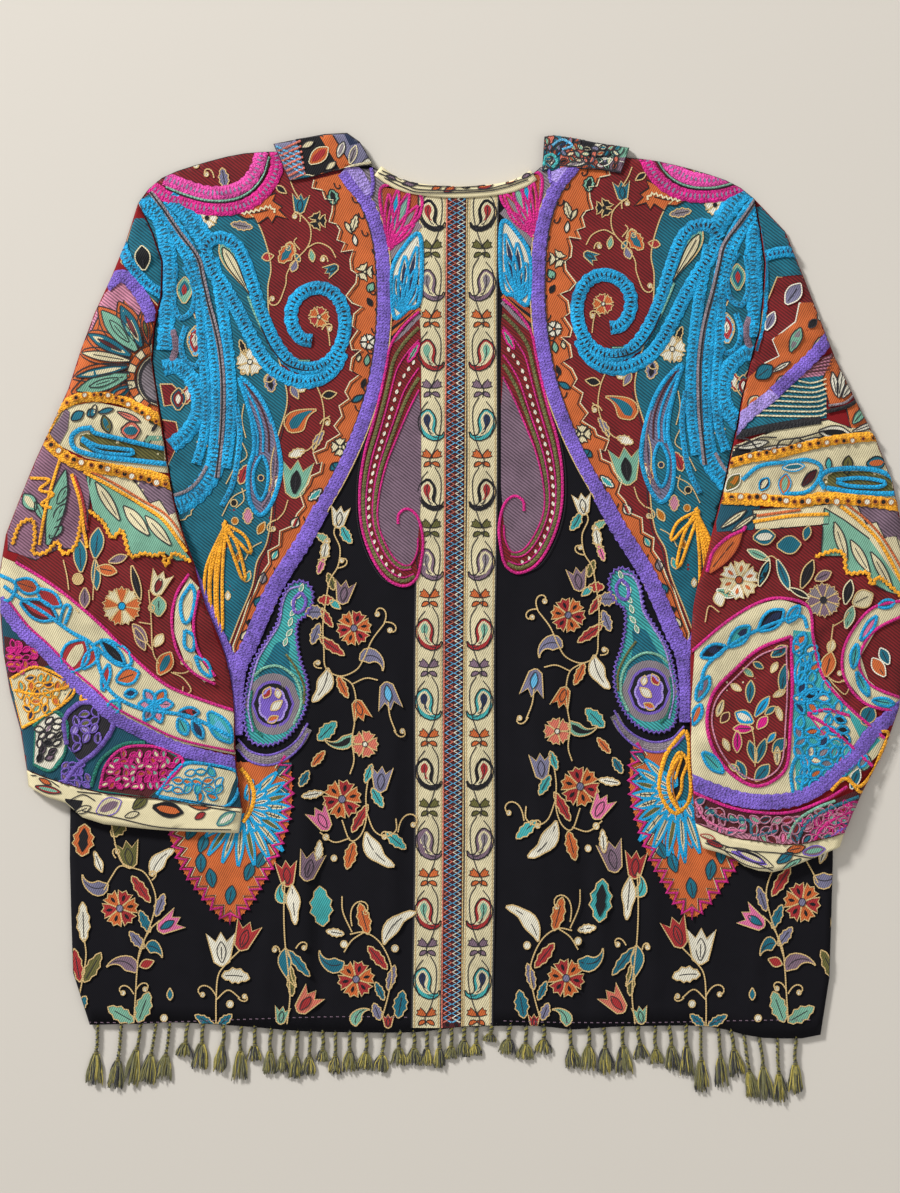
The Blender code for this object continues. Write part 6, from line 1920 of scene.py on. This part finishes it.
def tassel(yarns, root, foot, wide, draw):
    """A twisted two-colour cord, its knot, and the bushy brush of cut yarns below."""
    knot = root.lerp(foot, draw.uniform(0.42, 0.6))
    sway = draw.uniform(-0.0006, 0.0006)
    down = (foot - root).normalized()
    across = Vector((-down.y, down.x, 0.0))
    twist = draw.uniform(0, 6.28)
    for strand, dye in ((0.0, "olive"), (2.1, "black"), (4.2, "moss")):
        points = []
        for k in range(15):
            t = k / 14
            turn = twist + strand + t * (knot - root).length / TWIST * 2 * math.pi
            loose = min(0.3 + 3 * t, 1.0)
            spot = root.lerp(knot, t)
            spot += across * (sway * math.sin(t * 6.28) + 0.001 * loose * math.cos(turn))
            spot.z += loose * (0.0008 * math.sin(turn) + 0.0007)
            points.append(spot)
        yarns.yarn(points, 0.002, dye)
    for k in range(4):
        centre = knot + down * (0.0003 + 0.0006 * k)
        ring = [centre + across * (0.0015 * math.cos(a)) + Vector((0, 0, 0.0009 * math.sin(a) + 0.0002))
                for a in [2 * math.pi * m / 8 for m in range(9)]]
        yarns.yarn(ring, 0.001, "moss" if k % 2 else "soot")
    length = (foot - knot).length
    for k in range(30):
        spread = draw.uniform(-1, 1)
        end = knot + down * length * draw.uniform(0.82, 1.02) + across * wide * 0.56 * spread
        end.z = YARN_LOW + 0.0024 * (1 - abs(spread)) * draw.uniform(0.15, 1.0)
        head = knot + down * 0.0022 + across * wide * 0.16 * spread
        head.z = knot.z + draw.uniform(-0.0004, 0.0004)
        points = []
        for m in range(6):
            t = m / 5
            spot = head.lerp(end, t) + across * (wide * 0.1 * spread * math.sin(math.pi * t)
                                                  + 0.0004 * math.sin(7 * t + k))
            spot.z = max(spot.z, YARN_LOW)
            points.append(spot)
        yarns.yarn(points, draw.uniform(0.0011, 0.0016), draw.choice(YARN_DYES), 0.7)


def twisted_yarn():
    finish = Finish("twisted_silk_yarn", 0.5, 0.4, 0.45)
    along, across = finish.stitch_map()
    ply = ((along * 1.1 + across * 0.5) * (2 * math.pi)).sine() * 0.5 + 0.5
    fuzz = finish.speckle(1500.0)
    # The ridges of the ply are lighter in colour: a painted highlight on the twist.
    colour = finish.shade(finish.dye(), ply * 0.5 + fuzz * 0.7 + 0.5)
    return finish.done(colour, ply + fuzz * 0.5, 0.0003, 0.7)


def build_fringe():
    """Every tassel on its strip behind the hem."""
    draw = random.Random(41)
    yarns = Yarns()
    feet = [t[1] for t in TASSELS]
    for k, (root_x, foot_x, foot_y) in enumerate(TASSELS):
        gap = min(abs(foot_x - other) for m, other in enumerate(feet) if m != k)
        x = root_x * 0.001 + HEM_MIDDLE[0]
        root = Vector((x, hem_line(x) + 0.0042, YARN_LOW))
        foot = Vector((foot_x * 0.001 + HEM_MIDDLE[0], HEM_MIDDLE[1] + foot_y * 0.001, 0.0016))
        tassel(yarns, root, foot, min(0.0125, gap * 0.00095), draw)
    mesh = bpy.data.meshes.new("tassel_fringe")
    mesh.from_pydata([tuple(s) for s in yarns.spots], [], yarns.faces)
    mark(mesh, {"dye": yarns.dyes}, yarns.map)
    mesh.materials.append(twisted_yarn())
    return piece("tassel_fringe", mesh, "hem_fringe"), fringe_strip()


def fringe_strip():
    """The narrow tape behind the hem that carries the tassels."""
    bm = bmesh.new()
    rows = []
    for k in range(TAPE_STEPS + 1):
        x = TAPE_START + TAPE_LENGTH * k / TAPE_STEPS
        rows.append([bm.verts.new((x, hem_line(x) + dy, dz)) for dy, dz in
                     ((0.0042, 0.0002), (0.0042, 0.0012), (0.0084, 0.0012), (0.0084, 0.0002))])
    for a, b in zip(rows, rows[1:]):
        for j in range(4):
            bm.faces.new((a[j], a[(j + 1) % 4], b[(j + 1) % 4], b[j]))
    bm.faces.new(rows[0][::-1])
    bm.faces.new(rows[-1])
    bmesh.ops.recalc_face_normals(bm, faces=bm.faces)
    mesh = mesh_from(bm, "fringe_strip")
    mesh.materials.append(plain_cloth("strip_cloth", "soot"))
    return piece("fringe_strip", mesh)


def hem_line(x):
    """y of the back's hem at x, in metres."""
    x = (x - HEM_MIDDLE[0]) * 1000
    for (x0, y0), (x1, y1) in zip(HEM, HEM[1:]):
        if x <= x1:
            return HEM_MIDDLE[1] + 0.001 * (y0 + (y1 - y0) * min(max((x - x0) / (x1 - x0), 0), 1))
    return HEM_MIDDLE[1] + HEM[-1][1] * 0.001


def set_stage():
    """Plain pale floor, soft studio light, and the camera straight above."""
    bpy.context.scene.view_settings.view_transform = "Standard"
    bm = bmesh.new()
    bmesh.ops.create_grid(bm, x_segments=1, y_segments=1, size=3.0)
    mesh = mesh_from(bm, "floor")
    floor = add_object("floor", mesh)
    floor.location.z = -0.0004
    finish = Finish("pale_floor", 0.9, 0.0, 0.2)
    finish.shader.inputs["Base Color"].default_value = (0.62, 0.58, 0.52, 1.0)
    mesh.materials.append(finish.material)

    world = bpy.data.worlds.new("studio")
    world.use_nodes = True
    world.node_tree.nodes["Background"].inputs[0].default_value = (1.0, 0.99, 0.97, 1.0)
    world.node_tree.nodes["Background"].inputs[1].default_value = 0.44
    bpy.context.scene.world = world
    for name, spot, power, size in (("key", (-3.3, 3.6, 2.5), 380.0, 0.9),
                                    ("fill", (1.6, -0.6, 1.8), 8.0, 1.6)):
        lamp = bpy.data.lights.new(name, "AREA")
        lamp.energy, lamp.size = power, size
        item = add_object(name, lamp)
        item.location = spot
        item.rotation_euler = (-Vector(spot)).to_track_quat("-Z", "Y").to_euler()

    lens = bpy.data.cameras.new("camera")
    lens.sensor_fit, lens.sensor_width, lens.lens = "HORIZONTAL", 36.0, 99.8
    lens.clip_start = 0.05
    camera = add_object("camera", lens)
    camera.location = (-0.0016, 0.0178, 2.0)
    bpy.context.scene.camera = camera


set_stage()
back, back_pattern = build_body()
build_fringe()
build_sleeves()
build_trim()
cloth_black = plain_cloth("hidden_black_cloth", "black")
for name in ("front_left", "front_right"):
    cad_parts[name].data.materials.clear()
    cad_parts[name].data.materials.append(cloth_black)
